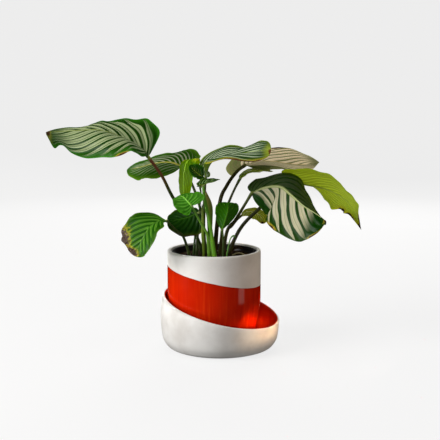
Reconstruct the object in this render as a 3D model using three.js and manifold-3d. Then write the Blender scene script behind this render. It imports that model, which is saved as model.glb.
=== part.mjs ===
// Potted calathea orbifolia: a two-tone glazed pot on a slant-rimmed saucer, with soil and leaves.
// Millimetres, +Z up. The origin is the middle of the saucer's flat underside, and -Y is the front.

import * as THREE from 'three';
import { mergeVertices } from 'three/addons/utils/BufferGeometryUtils.js';
import Module from 'manifold-3d';

const wasm = await Module();
wasm.setup();

// Dimensions shared by the pottery

const GAP = 0.3;
const TURN_STEPS = 48;

const POT_CENTRE_X = -9.5;
const POT_RIM_HEIGHT = 159.5;
const POT_RADIUS = 75;
const POT_WALL = 6;
const POT_FLOOR = 7;
const POT_DRAIN_RADIUS = 7;

const SAUCER_FLOOR = 6;
const SAUCER_WALL = 5;
const SAUCER_LEVEL_PART = 8;
const SAUCER_RIM_MIDDLE = 67.6;
const SAUCER_RIM_SLOPE = 14.1;
const SAUCER_RIM_HIGH_SIDE = 155;

const NURSERY_LIP_RADIUS = 67.6;
const NURSERY_TOP_RADIUS = 64.5;
const NURSERY_FOOT_RADIUS = 54;
const NURSERY_RIM_HEIGHT = 157.5;
const NURSERY_WALL = 1.6;
const NURSERY_LIP_DEPTH = 9;
const NURSERY_DRAINS = 6;
const NURSERY_DRAIN_RADIUS = 4;
const NURSERY_DRAIN_CIRCLE = 34;

const SOIL_HEIGHT = 148.5;
const SOIL_MOUND = 3;
const STEM_FOOT_HEIGHT = 134;

// Dimensions shared by the leaves

const BLADE_THICKNESS = 0.8;
const STEM_SIDES = 8;
const PULVINUS_LENGTH = 14;
const PULVINUS_SWELL = 0.7;
const MIDRIB_REACH = 0.45;
const MIDRIB_BASE_RADIUS = 1.3;
const MIDRIB_TIP_RADIUS = 0.7;
const RIPPLE_HEIGHT = 0.035;
const RIPPLE_WAVES = 3;
const LARGE_LEAF_LENGTH = 100;

// Colours, taken from the daylight side of each piece

const WHITE_GLAZE = 0xd2ccc8;
const BLACK_PLASTIC = 0x24252b;
const POTTING_SOIL = 0x2a1c14;
const STRIPED = 0x5f8a4c;
const SILVER = 0xa6a58c;
const FRESH = 0x3f9a35;
const LIGHT = 0x7fb52a;
const SHADED = 0x1f4a1c;
const OLIVE = 0x7d8a45;
const STEM_GREEN = 0x3d5a25;
const DRY_BROWN = 0x3f2b1d;
const ROOT_TAN = 0x9c8f63;

const rad = THREE.MathUtils.degToRad;
const vec = (p) => new THREE.Vector3(...p);

// Closed solids and their joining

function toSolid(geometry) {
  const bare = geometry.index ? geometry : geometry.clone();
  bare.deleteAttribute('normal');
  bare.deleteAttribute('uv');
  const merged = mergeVertices(bare, 1e-4);
  return new wasm.Manifold(new wasm.Mesh({
    numProp: 3,
    vertProperties: new Float32Array(merged.attributes.position.array),
    triVerts: new Uint32Array(merged.index.array),
  }));
}

function toGeometry(solid) {
  const mesh = solid.getMesh();
  const geometry = new THREE.BufferGeometry();
  geometry.setAttribute('position', new THREE.BufferAttribute(mesh.vertProperties, mesh.numProp));
  geometry.setIndex(new THREE.BufferAttribute(mesh.triVerts, 1));
  return geometry;
}

function named(name, geometry, colour, roughness) {
  const flat = geometry.toNonIndexed();
  flat.computeVertexNormals();
  const material = new THREE.MeshStandardMaterial({ color: colour, roughness, metalness: 0 });
  const mesh = new THREE.Mesh(flat, material);
  mesh.name = name;
  return mesh;
}

function turned(profile, steps) {
  const points = profile.map(([r, z]) => new THREE.Vector2(r, z));
  const geometry = new THREE.LatheGeometry(points, steps);
  geometry.rotateX(Math.PI / 2);
  return geometry;
}

// A smooth curve through points, walked from 0 to 1

function along(points, share) {
  const spans = points.length - 1;
  const place = THREE.MathUtils.clamp(share, 0, 1) * spans;
  const i = Math.min(Math.floor(place), spans - 1);
  const t = place - i;
  const b = points[i];
  const c = points[i + 1];
  const a = i > 0 ? points[i - 1] : b.clone().multiplyScalar(2).sub(c);
  const d = i + 2 <= spans ? points[i + 2] : c.clone().multiplyScalar(2).sub(b);
  const cubic = (p, q, r, s) => 0.5 * (2 * q + (r - p) * t + (2 * p - 5 * q + 4 * r - s) * t * t
    + (3 * q - p - 3 * r + s) * t * t * t);
  return new THREE.Vector3(cubic(a.x, b.x, c.x, d.x), cubic(a.y, b.y, c.y, d.y), cubic(a.z, b.z, c.z, d.z));
}

function tangentAt(points, share) {
  const step = 1e-3;
  return along(points, share + step).sub(along(points, share - step)).normalize();
}

// Saucer: a round bowl whose rim is cut on a slant

function saucerRadius(height) {
  const heights = [0, 3, 8, 20, 50, 75, 95];
  const radii = [76, 83, 88, 93.4, 96, 94.2, 90.3];
  const i = Math.min(heights.findIndex((h) => height <= h), heights.length - 1);
  const upper = i < 1 ? 1 : i;
  const share = (height - heights[upper - 1]) / (heights[upper] - heights[upper - 1]);
  return THREE.MathUtils.lerp(radii[upper - 1], radii[upper], share);
}

function saucerRim(x, y) {
  const high = rad(SAUCER_RIM_HIGH_SIDE);
  return SAUCER_RIM_MIDDLE + Math.tan(rad(SAUCER_RIM_SLOPE)) * (x * Math.cos(high) + y * Math.sin(high));
}

function saucer() {
  const outerHeights = [0, 3, 8, 18, 32, 50, 66];
  const innerHeights = [66, 50, 32, 18, 10];
  const outer = outerHeights.map((z) => [saucerRadius(z), z]);
  const inner = innerHeights.map((z) => [saucerRadius(z) - SAUCER_WALL, z]);
  const top = [saucerRadius(68) - SAUCER_WALL / 2, 68];
  const floor = [[saucerRadius(10) - SAUCER_WALL - 5, SAUCER_FLOOR], [0, SAUCER_FLOOR]];
  const geometry = turned([[0, 0], ...outer, top, ...inner, ...floor], TURN_STEPS);
  slantRim(geometry.attributes.position);
  return named('saucer', geometry, WHITE_GLAZE, 0.5);
}

// Each wall point is raised or lowered by its share of the wall, and follows the bowl's curve as it goes

function slantRim(position) {
  for (let i = 0; i < position.count; i += 1) {
    const x = position.getX(i);
    const y = position.getY(i);
    const z = position.getZ(i);
    const radius = Math.hypot(x, y);
    if (z > SAUCER_LEVEL_PART && radius > 1) {
      const reach = (saucerRim(x, y) - SAUCER_LEVEL_PART) / (SAUCER_RIM_MIDDLE - SAUCER_LEVEL_PART);
      const height = SAUCER_LEVEL_PART + (z - SAUCER_LEVEL_PART) * reach;
      const moved = radius + saucerRadius(height) - saucerRadius(z);
      position.setXYZ(i, x * moved / radius, y * moved / radius, height);
    }
  }
}

// Cover pot: a straight cylinder with a rounded lower end and a drain hole

function potProfile() {
  const base = SAUCER_FLOOR + GAP;
  const lip = 1.5;
  const inner = POT_RADIUS - POT_WALL;
  return [
    [0, base], [60, base], [63.5, base + 3], [67.5, base + 18], [70.6, base + 36], [73.4, base + 54],
    [POT_RADIUS, base + 72], [POT_RADIUS, POT_RIM_HEIGHT - lip], [POT_RADIUS - lip, POT_RIM_HEIGHT],
    [inner + lip, POT_RIM_HEIGHT], [inner, POT_RIM_HEIGHT - lip], [inner, base + 72],
    [inner - 1.8, base + 54], [inner - 4.6, base + 36], [inner - 8, base + 18], [56, base + POT_FLOOR],
    [0, base + POT_FLOOR],
  ];
}

function drainHoles(count, radius, circle, centreHeight) {
  const holes = [];
  for (let i = 0; i < count; i += 1) {
    const angle = (2 * Math.PI * i) / count;
    const hole = new THREE.CylinderGeometry(radius, radius, 30, 16);
    hole.rotateX(Math.PI / 2);
    hole.translate(circle * Math.cos(angle), circle * Math.sin(angle), centreHeight);
    holes.push(toSolid(hole));
  }
  return holes;
}

function coverPot() {
  let body = toSolid(turned(potProfile(), TURN_STEPS));
  for (const hole of drainHoles(1, POT_DRAIN_RADIUS, 0, SAUCER_FLOOR)) {
    body = body.subtract(hole);
  }
  const mesh = named('pot', toGeometry(body), WHITE_GLAZE, 0.55);
  mesh.position.x = POT_CENTRE_X;
  return mesh;
}

// Nursery pot: a thin black plastic pot with a folded lip, standing on the cover pot's floor

const NURSERY_BASE = SAUCER_FLOOR + POT_FLOOR + 2 * GAP;

function nurseryRadius(height) {
  const share = (height - NURSERY_BASE) / (NURSERY_RIM_HEIGHT - NURSERY_BASE);
  return THREE.MathUtils.lerp(NURSERY_FOOT_RADIUS, NURSERY_TOP_RADIUS, share);
}

function nurseryPot() {
  const base = NURSERY_BASE;
  const rim = NURSERY_RIM_HEIGHT;
  const underLip = rim - NURSERY_LIP_DEPTH;
  const floor = base + NURSERY_WALL;
  const profile = [
    [0, base], [NURSERY_FOOT_RADIUS, base], [nurseryRadius(underLip), underLip],
    [NURSERY_LIP_RADIUS, underLip], [NURSERY_LIP_RADIUS, rim - 1], [NURSERY_LIP_RADIUS - 1, rim],
    [NURSERY_TOP_RADIUS - NURSERY_WALL, rim],
    [nurseryRadius(SOIL_HEIGHT) - NURSERY_WALL, SOIL_HEIGHT], [NURSERY_FOOT_RADIUS - NURSERY_WALL, floor],
    [0, floor],
  ];
  let body = toSolid(turned(profile, TURN_STEPS));
  for (const hole of drainHoles(NURSERY_DRAINS, NURSERY_DRAIN_RADIUS, NURSERY_DRAIN_CIRCLE, base)) {
    body = body.subtract(hole);
  }
  const mesh = named('nursery_pot', toGeometry(body), BLACK_PLASTIC, 0.4);
  mesh.position.x = POT_CENTRE_X;
  return mesh;
}

// Soil: fills the nursery pot, with a low mound and a plain hole for each stem

function soilHeight(x, y) {
  const radius = Math.hypot(x - POT_CENTRE_X, y) / NURSERY_TOP_RADIUS;
  return SOIL_HEIGHT + SOIL_MOUND * Math.max(0, 1 - radius * radius);
}

function soil(stemHoles) {
  const base = NURSERY_BASE + NURSERY_WALL + GAP;
  const edge = (z) => nurseryRadius(z) - NURSERY_WALL - GAP;
  const crown = [1, 0.8, 0.6, 0.4, 0.2].map((share) => {
    const radius = share * edge(SOIL_HEIGHT);
    return [radius, soilHeight(POT_CENTRE_X + radius, 0)];
  });
  const profile = [[0, base], [edge(base), base], ...crown, [0, SOIL_HEIGHT + SOIL_MOUND]];
  let body = toSolid(turned(profile, TURN_STEPS).translate(POT_CENTRE_X, 0, 0));
  for (const hole of stemHoles) {
    body = body.subtract(hole);
  }
  return named('soil', toGeometry(body), POTTING_SOIL, 1);
}

// Tubes of changing radius, for stems, midribs and rolled leaves

function tube(centres, radii, sides, squash = 1) {
  const positions = [];
  const index = [];
  const last = centres.length - 1;
  let across = new THREE.Vector3(0, -1, 0);
  centres.forEach((centre, i) => {
    const before = centres[Math.max(i - 1, 0)];
    const after = centres[Math.min(i + 1, last)];
    const ahead = after.clone().sub(before).normalize();
    across = across.clone().addScaledVector(ahead, -across.dot(ahead)).normalize();
    const other = ahead.clone().cross(across);
    for (let k = 0; k < sides; k += 1) {
      const angle = (2 * Math.PI * k) / sides;
      const point = centre.clone().addScaledVector(across, radii[i] * squash * Math.cos(angle));
      point.addScaledVector(other, radii[i] * Math.sin(angle));
      positions.push(point.x, point.y, point.z);
    }
  });
  for (let i = 0; i < last; i += 1) {
    for (let k = 0; k < sides; k += 1) {
      const next = (k + 1) % sides;
      const a = i * sides + k;
      const b = i * sides + next;
      index.push(a, b, b + sides, a, b + sides, a + sides);
    }
  }
  const first = positions.length / 3;
  positions.push(...centres[0].toArray(), ...centres[last].toArray());
  for (let k = 0; k < sides; k += 1) {
    const next = (k + 1) % sides;
    index.push(first, next, k, first + 1, last * sides + k, last * sides + next);
  }
  const geometry = new THREE.BufferGeometry();
  geometry.setAttribute('position', new THREE.Float32BufferAttribute(positions, 3));
  geometry.setIndex(index);
  return geometry;
}

// The leaf blade. The place along the rib runs from 0 at the stem to 1 at the tip, and the place
// across runs from -1 at the left edge to 1 at the right edge.

function blend(values, share) {
  const [base, middle, tip] = values;
  const rest = 1 - share;
  return base * rest * (1 - 2 * share) + 4 * middle * share * rest + tip * share * (2 * share - 1);
}

function widthShare([blunt, sharp], share) {
  const widest = blunt / (blunt + sharp);
  return (share / widest) ** blunt * ((1 - share) / (1 - widest)) ** sharp;
}

function bladePoint(leaf, share, across) {
  const side = across < 0 ? 0 : 1;
  const sign = across < 0 ? -1 : 1;
  const out = Math.abs(across);
  const ahead = tangentAt(leaf.rib, share);
  const heading = rad(leaf.heading);
  const right = new THREE.Vector3(Math.sin(heading), -Math.cos(heading), 0);
  right.addScaledVector(ahead, -right.dot(ahead)).normalize();
  const up = right.clone().cross(ahead);
  const width = leaf.half[side] * widthShare(leaf.outline, share) * out;
  const rise = rad(blend(leaf.rise[side], share));
  const curl = rad(leaf.curl[side]) * out || 1e-6;
  const outward = (width * (Math.sin(rise + curl) - Math.sin(rise))) / curl;
  const upward = (width * (Math.cos(rise) - Math.cos(rise + curl))) / curl;
  const [back, on] = leaf.sweep[side];
  const sweep = Math.tan(rad(THREE.MathUtils.lerp(-back, on, share)));
  const wave = Math.sin(2 * Math.PI * (RIPPLE_WAVES * share + side / 3));
  const ripple = RIPPLE_HEIGHT * width * out * wave;
  const point = along(leaf.rib, share);
  point.addScaledVector(right, sign * outward);
  point.addScaledVector(up, upward + ripple);
  point.addScaledVector(ahead, width * sweep);
  return point;
}

function bladeNormal(leaf, share, across) {
  const step = 0.02;
  const ahead = bladePoint(leaf, Math.min(share + step, 0.999), across);
  ahead.sub(bladePoint(leaf, Math.max(share - step, 0.001), across));
  const side = bladePoint(leaf, share, Math.min(across + step, 1));
  side.sub(bladePoint(leaf, share, Math.max(across - step, -1)));
  return side.cross(ahead).normalize();
}

function bladeGeometry(leaf) {
  const large = ribLength(leaf) > LARGE_LEAF_LENGTH;
  const rows = large ? 12 : 8;
  const columns = large ? 8 : 6;
  const positions = [];
  const index = [];
  const faces = [[], []];
  for (let i = 0; i <= rows; i += 1) {
    const share = 0.5 - 0.5 * Math.cos(Math.PI * (0.07 + 0.9 * (i / rows)));
    for (let j = 0; j <= columns; j += 1) {
      const across = (2 * j) / columns - 1;
      const point = bladePoint(leaf, share, across);
      const normal = bladeNormal(leaf, share, across).multiplyScalar(BLADE_THICKNESS / 2);
      faces[0].push(point.clone().add(normal));
      faces[1].push(point.clone().sub(normal));
    }
  }
  [...faces[0], ...faces[1]].forEach((p) => positions.push(p.x, p.y, p.z));
  const under = faces[0].length;
  const at = (i, j) => i * (columns + 1) + j;
  for (let i = 0; i < rows; i += 1) {
    for (let j = 0; j < columns; j += 1) {
      const [a, b, c, d] = [at(i, j), at(i, j + 1), at(i + 1, j + 1), at(i + 1, j)];
      index.push(a, b, c, a, c, d);
      index.push(a + under, c + under, b + under, a + under, d + under, c + under);
    }
  }
  const wall = (a, b) => index.push(a, b + under, b, a, a + under, b + under);
  for (let j = 0; j < columns; j += 1) {
    wall(at(0, j), at(0, j + 1));
    wall(at(rows, j + 1), at(rows, j));
  }
  for (let i = 0; i < rows; i += 1) {
    wall(at(i + 1, 0), at(i, 0));
    wall(at(i, columns), at(i + 1, columns));
  }
  const geometry = new THREE.BufferGeometry();
  geometry.setAttribute('position', new THREE.Float32BufferAttribute(positions, 3));
  geometry.setIndex(index);
  return geometry;
}

function ribLength(leaf) {
  let length = 0;
  for (let i = 1; i < leaf.rib.length; i += 1) {
    length += leaf.rib[i].distanceTo(leaf.rib[i - 1]);
  }
  return length;
}

// The stem runs from the soil to the blade, swells at the joint and goes on under the blade as the midrib

function stemGeometry(leaf) {
  const centres = [];
  const radii = [];
  const length = leaf.stem[0].distanceTo(leaf.stem.at(-1));
  const steps = Math.max(5, Math.round(length / 20));
  for (let i = 0; i <= steps; i += 1) {
    const share = i / steps;
    const toBlade = ((1 - share) * length) / PULVINUS_LENGTH;
    const swell = PULVINUS_SWELL * Math.exp(-toBlade * toBlade);
    centres.push(along(leaf.stem, share));
    radii.push(THREE.MathUtils.lerp(leaf.stemRadius[0], leaf.stemRadius[1], share) + swell);
  }
  const ribSteps = 3;
  for (let i = 1; i <= ribSteps; i += 1) {
    const share = (MIDRIB_REACH * i) / ribSteps;
    const radius = THREE.MathUtils.lerp(MIDRIB_BASE_RADIUS, MIDRIB_TIP_RADIUS, i / ribSteps);
    const up = bladeNormal(leaf, share, 0);
    centres.push(along(leaf.rib, share).addScaledVector(up, -0.4 * radius));
    radii.push(radius);
  }
  return tube(centres, radii, STEM_SIDES);
}

function stemHole(stem, radius) {
  const centres = [];
  const radii = [];
  const steps = 2;
  const from = stem[0].clone().addScaledVector(tangentAt(stem, 0), -GAP);
  centres.push(from);
  radii.push(radius + GAP);
  for (let i = 1; i <= steps; i += 1) {
    const height = THREE.MathUtils.lerp(stem[0].z, SOIL_HEIGHT + 3 * SOIL_MOUND, i / steps);
    centres.push(pointAtHeight(stem, height));
    radii.push(radius + GAP);
  }
  return toSolid(tube(centres, radii, STEM_SIDES));
}

function pointAtHeight(points, height) {
  let low = 0;
  let high = 1;
  for (let i = 0; i < 30; i += 1) {
    const middle = (low + high) / 2;
    if (along(points, middle).z < height) {
      low = middle;
    } else {
      high = middle;
    }
  }
  return along(points, low);
}

function leafMesh(leaf) {
  const body = toSolid(bladeGeometry(leaf)).add(toSolid(stemGeometry(leaf)));
  return named(leaf.name, toGeometry(body), leaf.colour, 0.5);
}

// Leaf measures. stem and rib are points from the soil up to the blade and on to its tip. heading is
// the way the blade points in plan, in degrees from +X. half is the greatest width of the left and the
// right half. rise is each half's slope at the base, the middle and the tip, and curl its further bend
// at the edge, in degrees. outline is how blunt the base and how sharp the tip is, and sweep how far
// the edge of each half leans back at the base and on at the tip, in degrees.

const LEAVES = [
  // Long leaf that reaches far out to the left
  {
    name: 'leaf_far_left',
    colour: STRIPED,
    stem: [[-21, 9, 134], [-48, 9, 202], [-75, 5, 242], [-92, -1, 277], [-113, -8, 308]],
    stemRadius: [3.2, 2.2],
    rib: [
      [-113, -8, 308], [-127, -10, 320], [-155, -16, 339], [-186, -24, 351], [-224, -30, 351],
      [-269, -34, 348],
    ],
    heading: -171,
    half: [82, 81],
    rise: [[9, 2, -80], [80, 16, 12]],
    curl: [-35, -4],
    outline: [0.54, 0.73],
    sweep: [[-2, -23], [-6, -15]],
  },
  // Leaf behind it, pointing away from the viewer
  {
    name: 'leaf_left_behind',
    colour: STRIPED,
    stem: [[-23, 24, 134], [-28, 28, 200], [-39, 38, 243], [-54, 49, 276], [-63, 54, 288]],
    stemRadius: [2.6, 1.8],
    rib: [[-63, 54, 288], [-83, 62, 294], [-109, 80, 291], [-135, 100, 283], [-159, 118, 277]],
    heading: 146,
    half: [47, 52],
    rise: [[-7, -22, -19], [43, 29, 51]],
    curl: [-23, -20],
    outline: [0.42, 0.86],
    sweep: [[2, 9], [35, 16]],
  },
  // Bright leaf that arches over and hangs down
  {
    name: 'leaf_hanging',
    colour: FRESH,
    stem: [[-16, 16, 134], [-19, 18, 201], [-24, 22, 244], [-32, 28, 271], [-38, 30, 289]],
    stemRadius: [2.2, 1.6],
    rib: [
      [-38, 30, 289], [-44, 20, 302], [-53, 8, 299], [-57, -2, 284], [-58, -8, 264],
      [-57, -11, 242],
    ],
    heading: -100,
    half: [19, 18],
    rise: [[-16, 30, 16], [57, -34, -17]],
    curl: [-21, -23],
    outline: [0.64, 0.6],
    sweep: [[0, 20], [24, 8]],
  },
  // Small dark leaf cupped in front of the hanging one
  {
    name: 'leaf_cupped',
    colour: SHADED,
    stem: [[-6, -44, 134], [-15, -38, 199], [-22, -28, 233], [-26, -21, 257], [-27, -17, 276]],
    stemRadius: [3.4, 1.8],
    rib: [[-27, -17, 276], [-33, -19, 281], [-41, -21, 288], [-48, -21, 295]],
    heading: 180,
    half: [17, 18],
    rise: [[13, -9, -8], [60, 53, 37]],
    curl: [-29, -21],
    outline: [0.46, 0.7],
    sweep: [[-8, 8], [-3, 16]],
  },
  // Leaf across the top of the plant
  {
    name: 'leaf_top_middle',
    colour: STRIPED,
    stem: [[-25, -12, 134], [-26, -12, 192], [-25, -10, 232], [-24, -8, 259], [-23, -6, 276]],
    stemRadius: [3, 1.9],
    rib: [
      [-23, -6, 276], [-19, -10, 293], [-8, -18, 306], [15, -34, 313], [46, -52, 319],
      [77, -66, 324],
    ],
    heading: -31,
    half: [53, 52],
    rise: [[79, 20, 57], [-45, 5, -34]],
    curl: [-17, -25],
    outline: [0.53, 0.6],
    sweep: [[-13, 3], [-13, 21]],
  },
  // Silver striped leaf behind it, on the right
  {
    name: 'leaf_right_silver',
    colour: SILVER,
    stem: [[-10, 23, 134], [-1, 25, 228], [11, 27, 259], [27, 31, 281], [41, 34, 292]],
    stemRadius: [3.4, 2.4],
    rib: [[41, 34, 292], [59, 42, 297], [86, 58, 296], [117, 76, 290], [143, 92, 288], [168, 104, 291]],
    heading: 29,
    half: [71, 46],
    rise: [[-27, 28, 57], [-1, -4, 0]],
    curl: [-20, -21],
    outline: [0.48, 0.93],
    sweep: [[25, 6], [1, 4]],
  },
  // Narrow leaf tucked under the silver one
  {
    name: 'leaf_right_inner',
    colour: OLIVE,
    stem: [[-2, 2, 134], [6, 4, 213], [13, 5, 232], [22, 6, 253], [31, 4, 271]],
    stemRadius: [2.4, 1.7],
    rib: [[31, 4, 271], [37, 8, 279], [50, 16, 284], [66, 26, 284], [84, 38, 281]],
    heading: 22,
    half: [12, 24],
    rise: [[8, 19, 51], [30, 8, 16]],
    curl: [-19, -18],
    outline: [0.51, 0.61],
    sweep: [[-12, 13], [13, 13]],
  },
  // Broad striped leaf at the front right
  {
    name: 'leaf_front_striped',
    colour: STRIPED,
    stem: [[2, -14, 134], [11, -16, 190], [24, -20, 209], [38, -25, 233], [50, -30, 254]],
    stemRadius: [3, 2],
    rib: [
      [50, -30, 254], [71, -36, 263], [93, -46, 265], [110, -62, 253], [126, -80, 240],
      [142, -96, 231], [157, -110, 221],
    ],
    heading: -37,
    half: [57, 59],
    rise: [[56, 8, -30], [-80, -60, -28]],
    curl: [-21, -32],
    outline: [0.66, 0.6],
    sweep: [[40, 1], [24, 31]],
  },
  // Light leaf that droops out to the right
  {
    name: 'leaf_right_light',
    colour: LIGHT,
    stem: [[6, 2, 134], [32, 5, 191], [64, 9, 225], [90, 19, 249], [113, 24, 267]],
    stemRadius: [3.2, 2.3],
    rib: [
      [113, 24, 267], [143, 22, 261], [164, 18, 257], [185, 14, 249], [203, 10, 237],
      [214, 8, 222], [227, 6, 190],
    ],
    heading: -9,
    half: [29, 38],
    rise: [[45, -72, -85], [50, 53, 36]],
    curl: [4, -22],
    outline: [0.42, 1.04],
    sweep: [[-13, 16], [50, 19]],
  },
  // Low leaf at the left with a dead brown margin
  {
    name: 'leaf_low_left',
    colour: STRIPED,
    stem: [[-42, -38, 134], [-56, -44, 184], [-68, -48, 197], [-77, -50, 207], [-83, -52, 213]],
    stemRadius: [2, 1.5],
    rib: [
      [-83, -52, 213], [-96, -56, 212], [-109, -64, 203], [-118, -70, 189], [-125, -74, 174],
      [-131, -76, 162],
    ],
    heading: -153,
    half: [37, 41],
    rise: [[10, 8, -10], [16, 46, 45]],
    curl: [-22, -19],
    outline: [0.45, 0.6],
    sweep: [[-4, 5], [-9, 1]],
  },
  // Round dark leaf low in the middle
  {
    name: 'leaf_round_dark',
    colour: SHADED,
    stem: [[-38, -8, 134], [-36, -11, 179], [-34, -13, 200], [-33, -17, 222]],
    stemRadius: [2.4, 1.8],
    rib: [[-33, -17, 222], [-47, -19, 215], [-63, -22, 211], [-82, -25, 209]],
    heading: -171,
    half: [33, 24],
    rise: [[-64, -42, -22], [30, 45, 50]],
    curl: [-26, -20],
    outline: [0.42, 0.66],
    sweep: [[3, 30], [10, 24]],
  },
  // Bright young leaf in front of the stems
  {
    name: 'leaf_bright_young',
    colour: FRESH,
    stem: [
      [-16, -36, 134], [-19, -41, 183], [-23, -44, 197], [-30, -48, 209], [-38, -51, 225],
      [-44, -52, 236],
    ],
    stemRadius: [2.3, 1.4],
    rib: [[-44, -52, 236], [-49, -50, 241], [-55, -46, 247], [-63, -40, 251]],
    heading: -90,
    half: [26, 26],
    rise: [[-3, 8, 20], [-27, -10, 19]],
    curl: [-20, -23],
    outline: [0.49, 0.6],
    sweep: [[30, 2], [41, 23]],
  },
  // Slender young leaf that points right
  {
    name: 'leaf_slender_young',
    colour: SHADED,
    stem: [[-43, 1, 134], [-40, 1, 181], [-35, 2, 206], [-32, 0, 231], [-30, -22, 251], [-31, -41, 264]],
    stemRadius: [1.6, 1.1],
    rib: [[-31, -41, 264], [-23, -44, 271], [-12, -48, 276], [0, -52, 277]],
    heading: -20,
    half: [13, 12],
    rise: [[80, 30, -10], [46, -6, -15]],
    curl: [-8, -17],
    outline: [0.5, 0.7],
    sweep: [[35, -20], [32, -5]],
  },
  // Round young leaf in the middle
  {
    name: 'leaf_centre_young',
    colour: FRESH,
    stem: [[5, -40, 134], [5, -39, 171], [5, -37, 183], [3, -36, 196]],
    stemRadius: [1.6, 1.2],
    rib: [[3, -36, 196], [8, -40, 211], [12, -44, 227], [13, -48, 240]],
    heading: -90,
    half: [20, 22],
    rise: [[65, 40, 8], [71, 41, 8]],
    curl: [-16, -20],
    outline: [0.5, 0.6],
    sweep: [[-7, 24], [10, 23]],
  },
  // Small olive leaf behind the front leaf
  {
    name: 'leaf_small_olive',
    colour: OLIVE,
    stem: [[-2, 14, 134], [10, 17, 183], [19, 19, 193], [28, 21, 204], [35, 22, 211]],
    stemRadius: [1.6, 1.2],
    rib: [[35, 22, 211], [45, 24, 217], [58, 23, 215], [66, 21, 209], [69, 19, 198]],
    heading: -5,
    half: [16, 13],
    rise: [[26, 34, 67], [-18, -36, -45]],
    curl: [-19, -22],
    outline: [0.52, 0.6],
    sweep: [[-2, 22], [9, 8]],
  },
];

// Young leaves still rolled into a spear, with their stems

const SPEARS = [
  {
    name: 'leaf_rolled',
    colour: OLIVE,
    path: [[-13, -21, 134], [-15, -19, 175], [-15, -18, 205], [-17, -17, 232], [-23, -15, 256]],
    radius: [1.6, 1.7, 3.4, 5.2, 0.7],
    squash: 0.55,
  },
  {
    name: 'leaf_rolled_small',
    colour: LIGHT,
    path: [[-26, -34, 134], [-26, -37, 165], [-27, -38, 190], [-27, -37, 215], [-28, -35, 236]],
    radius: [1.8, 2, 2.8, 2.2, 0.6],
    squash: 0.6,
  },
  {
    name: 'shoot_thin',
    colour: FRESH,
    path: [[10, -48, 134], [10, -47, 150], [12, -44, 166], [16, -40, 182], [21, -38, 187], [24, -38, 184]],
    radius: [1.2, 1.2, 1, 1, 1.4, 0.6],
    squash: 1,
  },
];

function radiusAlong(radii, share) {
  return Math.max(0.5, along(radii.map((r) => new THREE.Vector3(r, 0, 0)), share).x);
}

function spearMesh(spear) {
  const steps = 10;
  const centres = [];
  const radii = [];
  for (let i = 0; i <= steps; i += 1) {
    centres.push(along(spear.path, i / steps));
    radii.push(radiusAlong(spear.radius, i / steps));
  }
  return named(spear.name, tube(centres, radii, STEM_SIDES, spear.squash), spear.colour, 0.5);
}

// Loose bits on the soil: a dry leaf sheath and a pale root

const SOIL_BITS = [
  {
    name: 'dry_sheath',
    colour: DRY_BROWN,
    path: [[18, 30, 152.3], [24, 31, 156.3], [31, 31, 157.3], [37, 30, 155.3]],
    radius: [2.2, 3.2, 2.6, 1],
    squash: 0.5,
  },
  {
    name: 'root_pale',
    colour: ROOT_TAN,
    path: [[19, -18, 152.3], [27, -14, 155], [36, -14, 154.4], [41, -22, 150.6]],
    radius: [1.2, 1.2, 1.2, 0.9],
    squash: 1,
  },
];

function withVectors(item) {
  const result = { ...item };
  for (const key of ['stem', 'rib', 'path']) {
    if (item[key]) {
      result[key] = item[key].map(vec);
    }
  }
  return result;
}

// Assembly

const leaves = LEAVES.map(withVectors);
const spears = SPEARS.map(withVectors);
const bits = SOIL_BITS.map(withVectors);
const stemHoles = [
  ...leaves.map((leaf) => stemHole(leaf.stem, leaf.stemRadius[0])),
  ...spears.map((spear) => stemHole(spear.path, spear.radius[0] + 0.2)),
];

const plant = new THREE.Group();
plant.name = 'potted_calathea';
plant.add(saucer());
plant.add(coverPot());
plant.add(nurseryPot());
plant.add(soil(stemHoles));
leaves.forEach((leaf) => plant.add(leafMesh(leaf)));
spears.forEach((spear) => plant.add(spearMesh(spear)));
bits.forEach((bit) => plant.add(spearMesh(bit)));

export default plant;
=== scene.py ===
"""Potted calathea orbifolia: broad striped leaves on thin stems, in a two-tone glazed pot on a
slanted saucer."""

import math

import bpy
import numpy as np
from bpy.props import FloatProperty, FloatVectorProperty, IntProperty
from mathutils import Euler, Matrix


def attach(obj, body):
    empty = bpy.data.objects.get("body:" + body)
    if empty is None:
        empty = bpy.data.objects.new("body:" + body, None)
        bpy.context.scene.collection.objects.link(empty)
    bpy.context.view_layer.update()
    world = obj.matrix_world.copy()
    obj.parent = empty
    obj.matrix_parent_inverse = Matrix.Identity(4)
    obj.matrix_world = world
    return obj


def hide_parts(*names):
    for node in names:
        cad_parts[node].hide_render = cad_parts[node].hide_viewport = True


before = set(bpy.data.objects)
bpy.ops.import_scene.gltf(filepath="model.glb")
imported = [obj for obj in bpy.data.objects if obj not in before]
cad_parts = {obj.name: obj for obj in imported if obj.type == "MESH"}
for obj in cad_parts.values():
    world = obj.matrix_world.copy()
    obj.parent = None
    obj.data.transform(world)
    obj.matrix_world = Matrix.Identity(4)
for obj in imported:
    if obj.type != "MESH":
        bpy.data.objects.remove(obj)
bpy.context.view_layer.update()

bl_info = {
    "name": "Potted calathea orbifolia",
    "version": (1, 0, 0),
    "blender": (4, 5, 0),
    "location": "3D View > Sidebar > Calathea",
    "description": "Builds a potted calathea over its solid model: leaves, pottery, soil and stage",
    "category": "Add Mesh",
}

MM = 0.001
BODY = "root"


def paint(code):
    """A colour given as six hexadecimal digits, in linear light."""
    channels = [int(code[i:i + 2], 16) / 255 for i in (0, 2, 4)]
    linear = [c / 12.92 if c <= 0.04045 else ((c + 0.055) / 1.055) ** 2.4 for c in channels]
    return (*linear, 1.0)


# Settings that a user would change

LENGTH = {"unit": "LENGTH", "precision": 4}
COLOUR = {"subtype": "COLOR", "size": 4, "min": 0, "max": 1}


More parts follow.
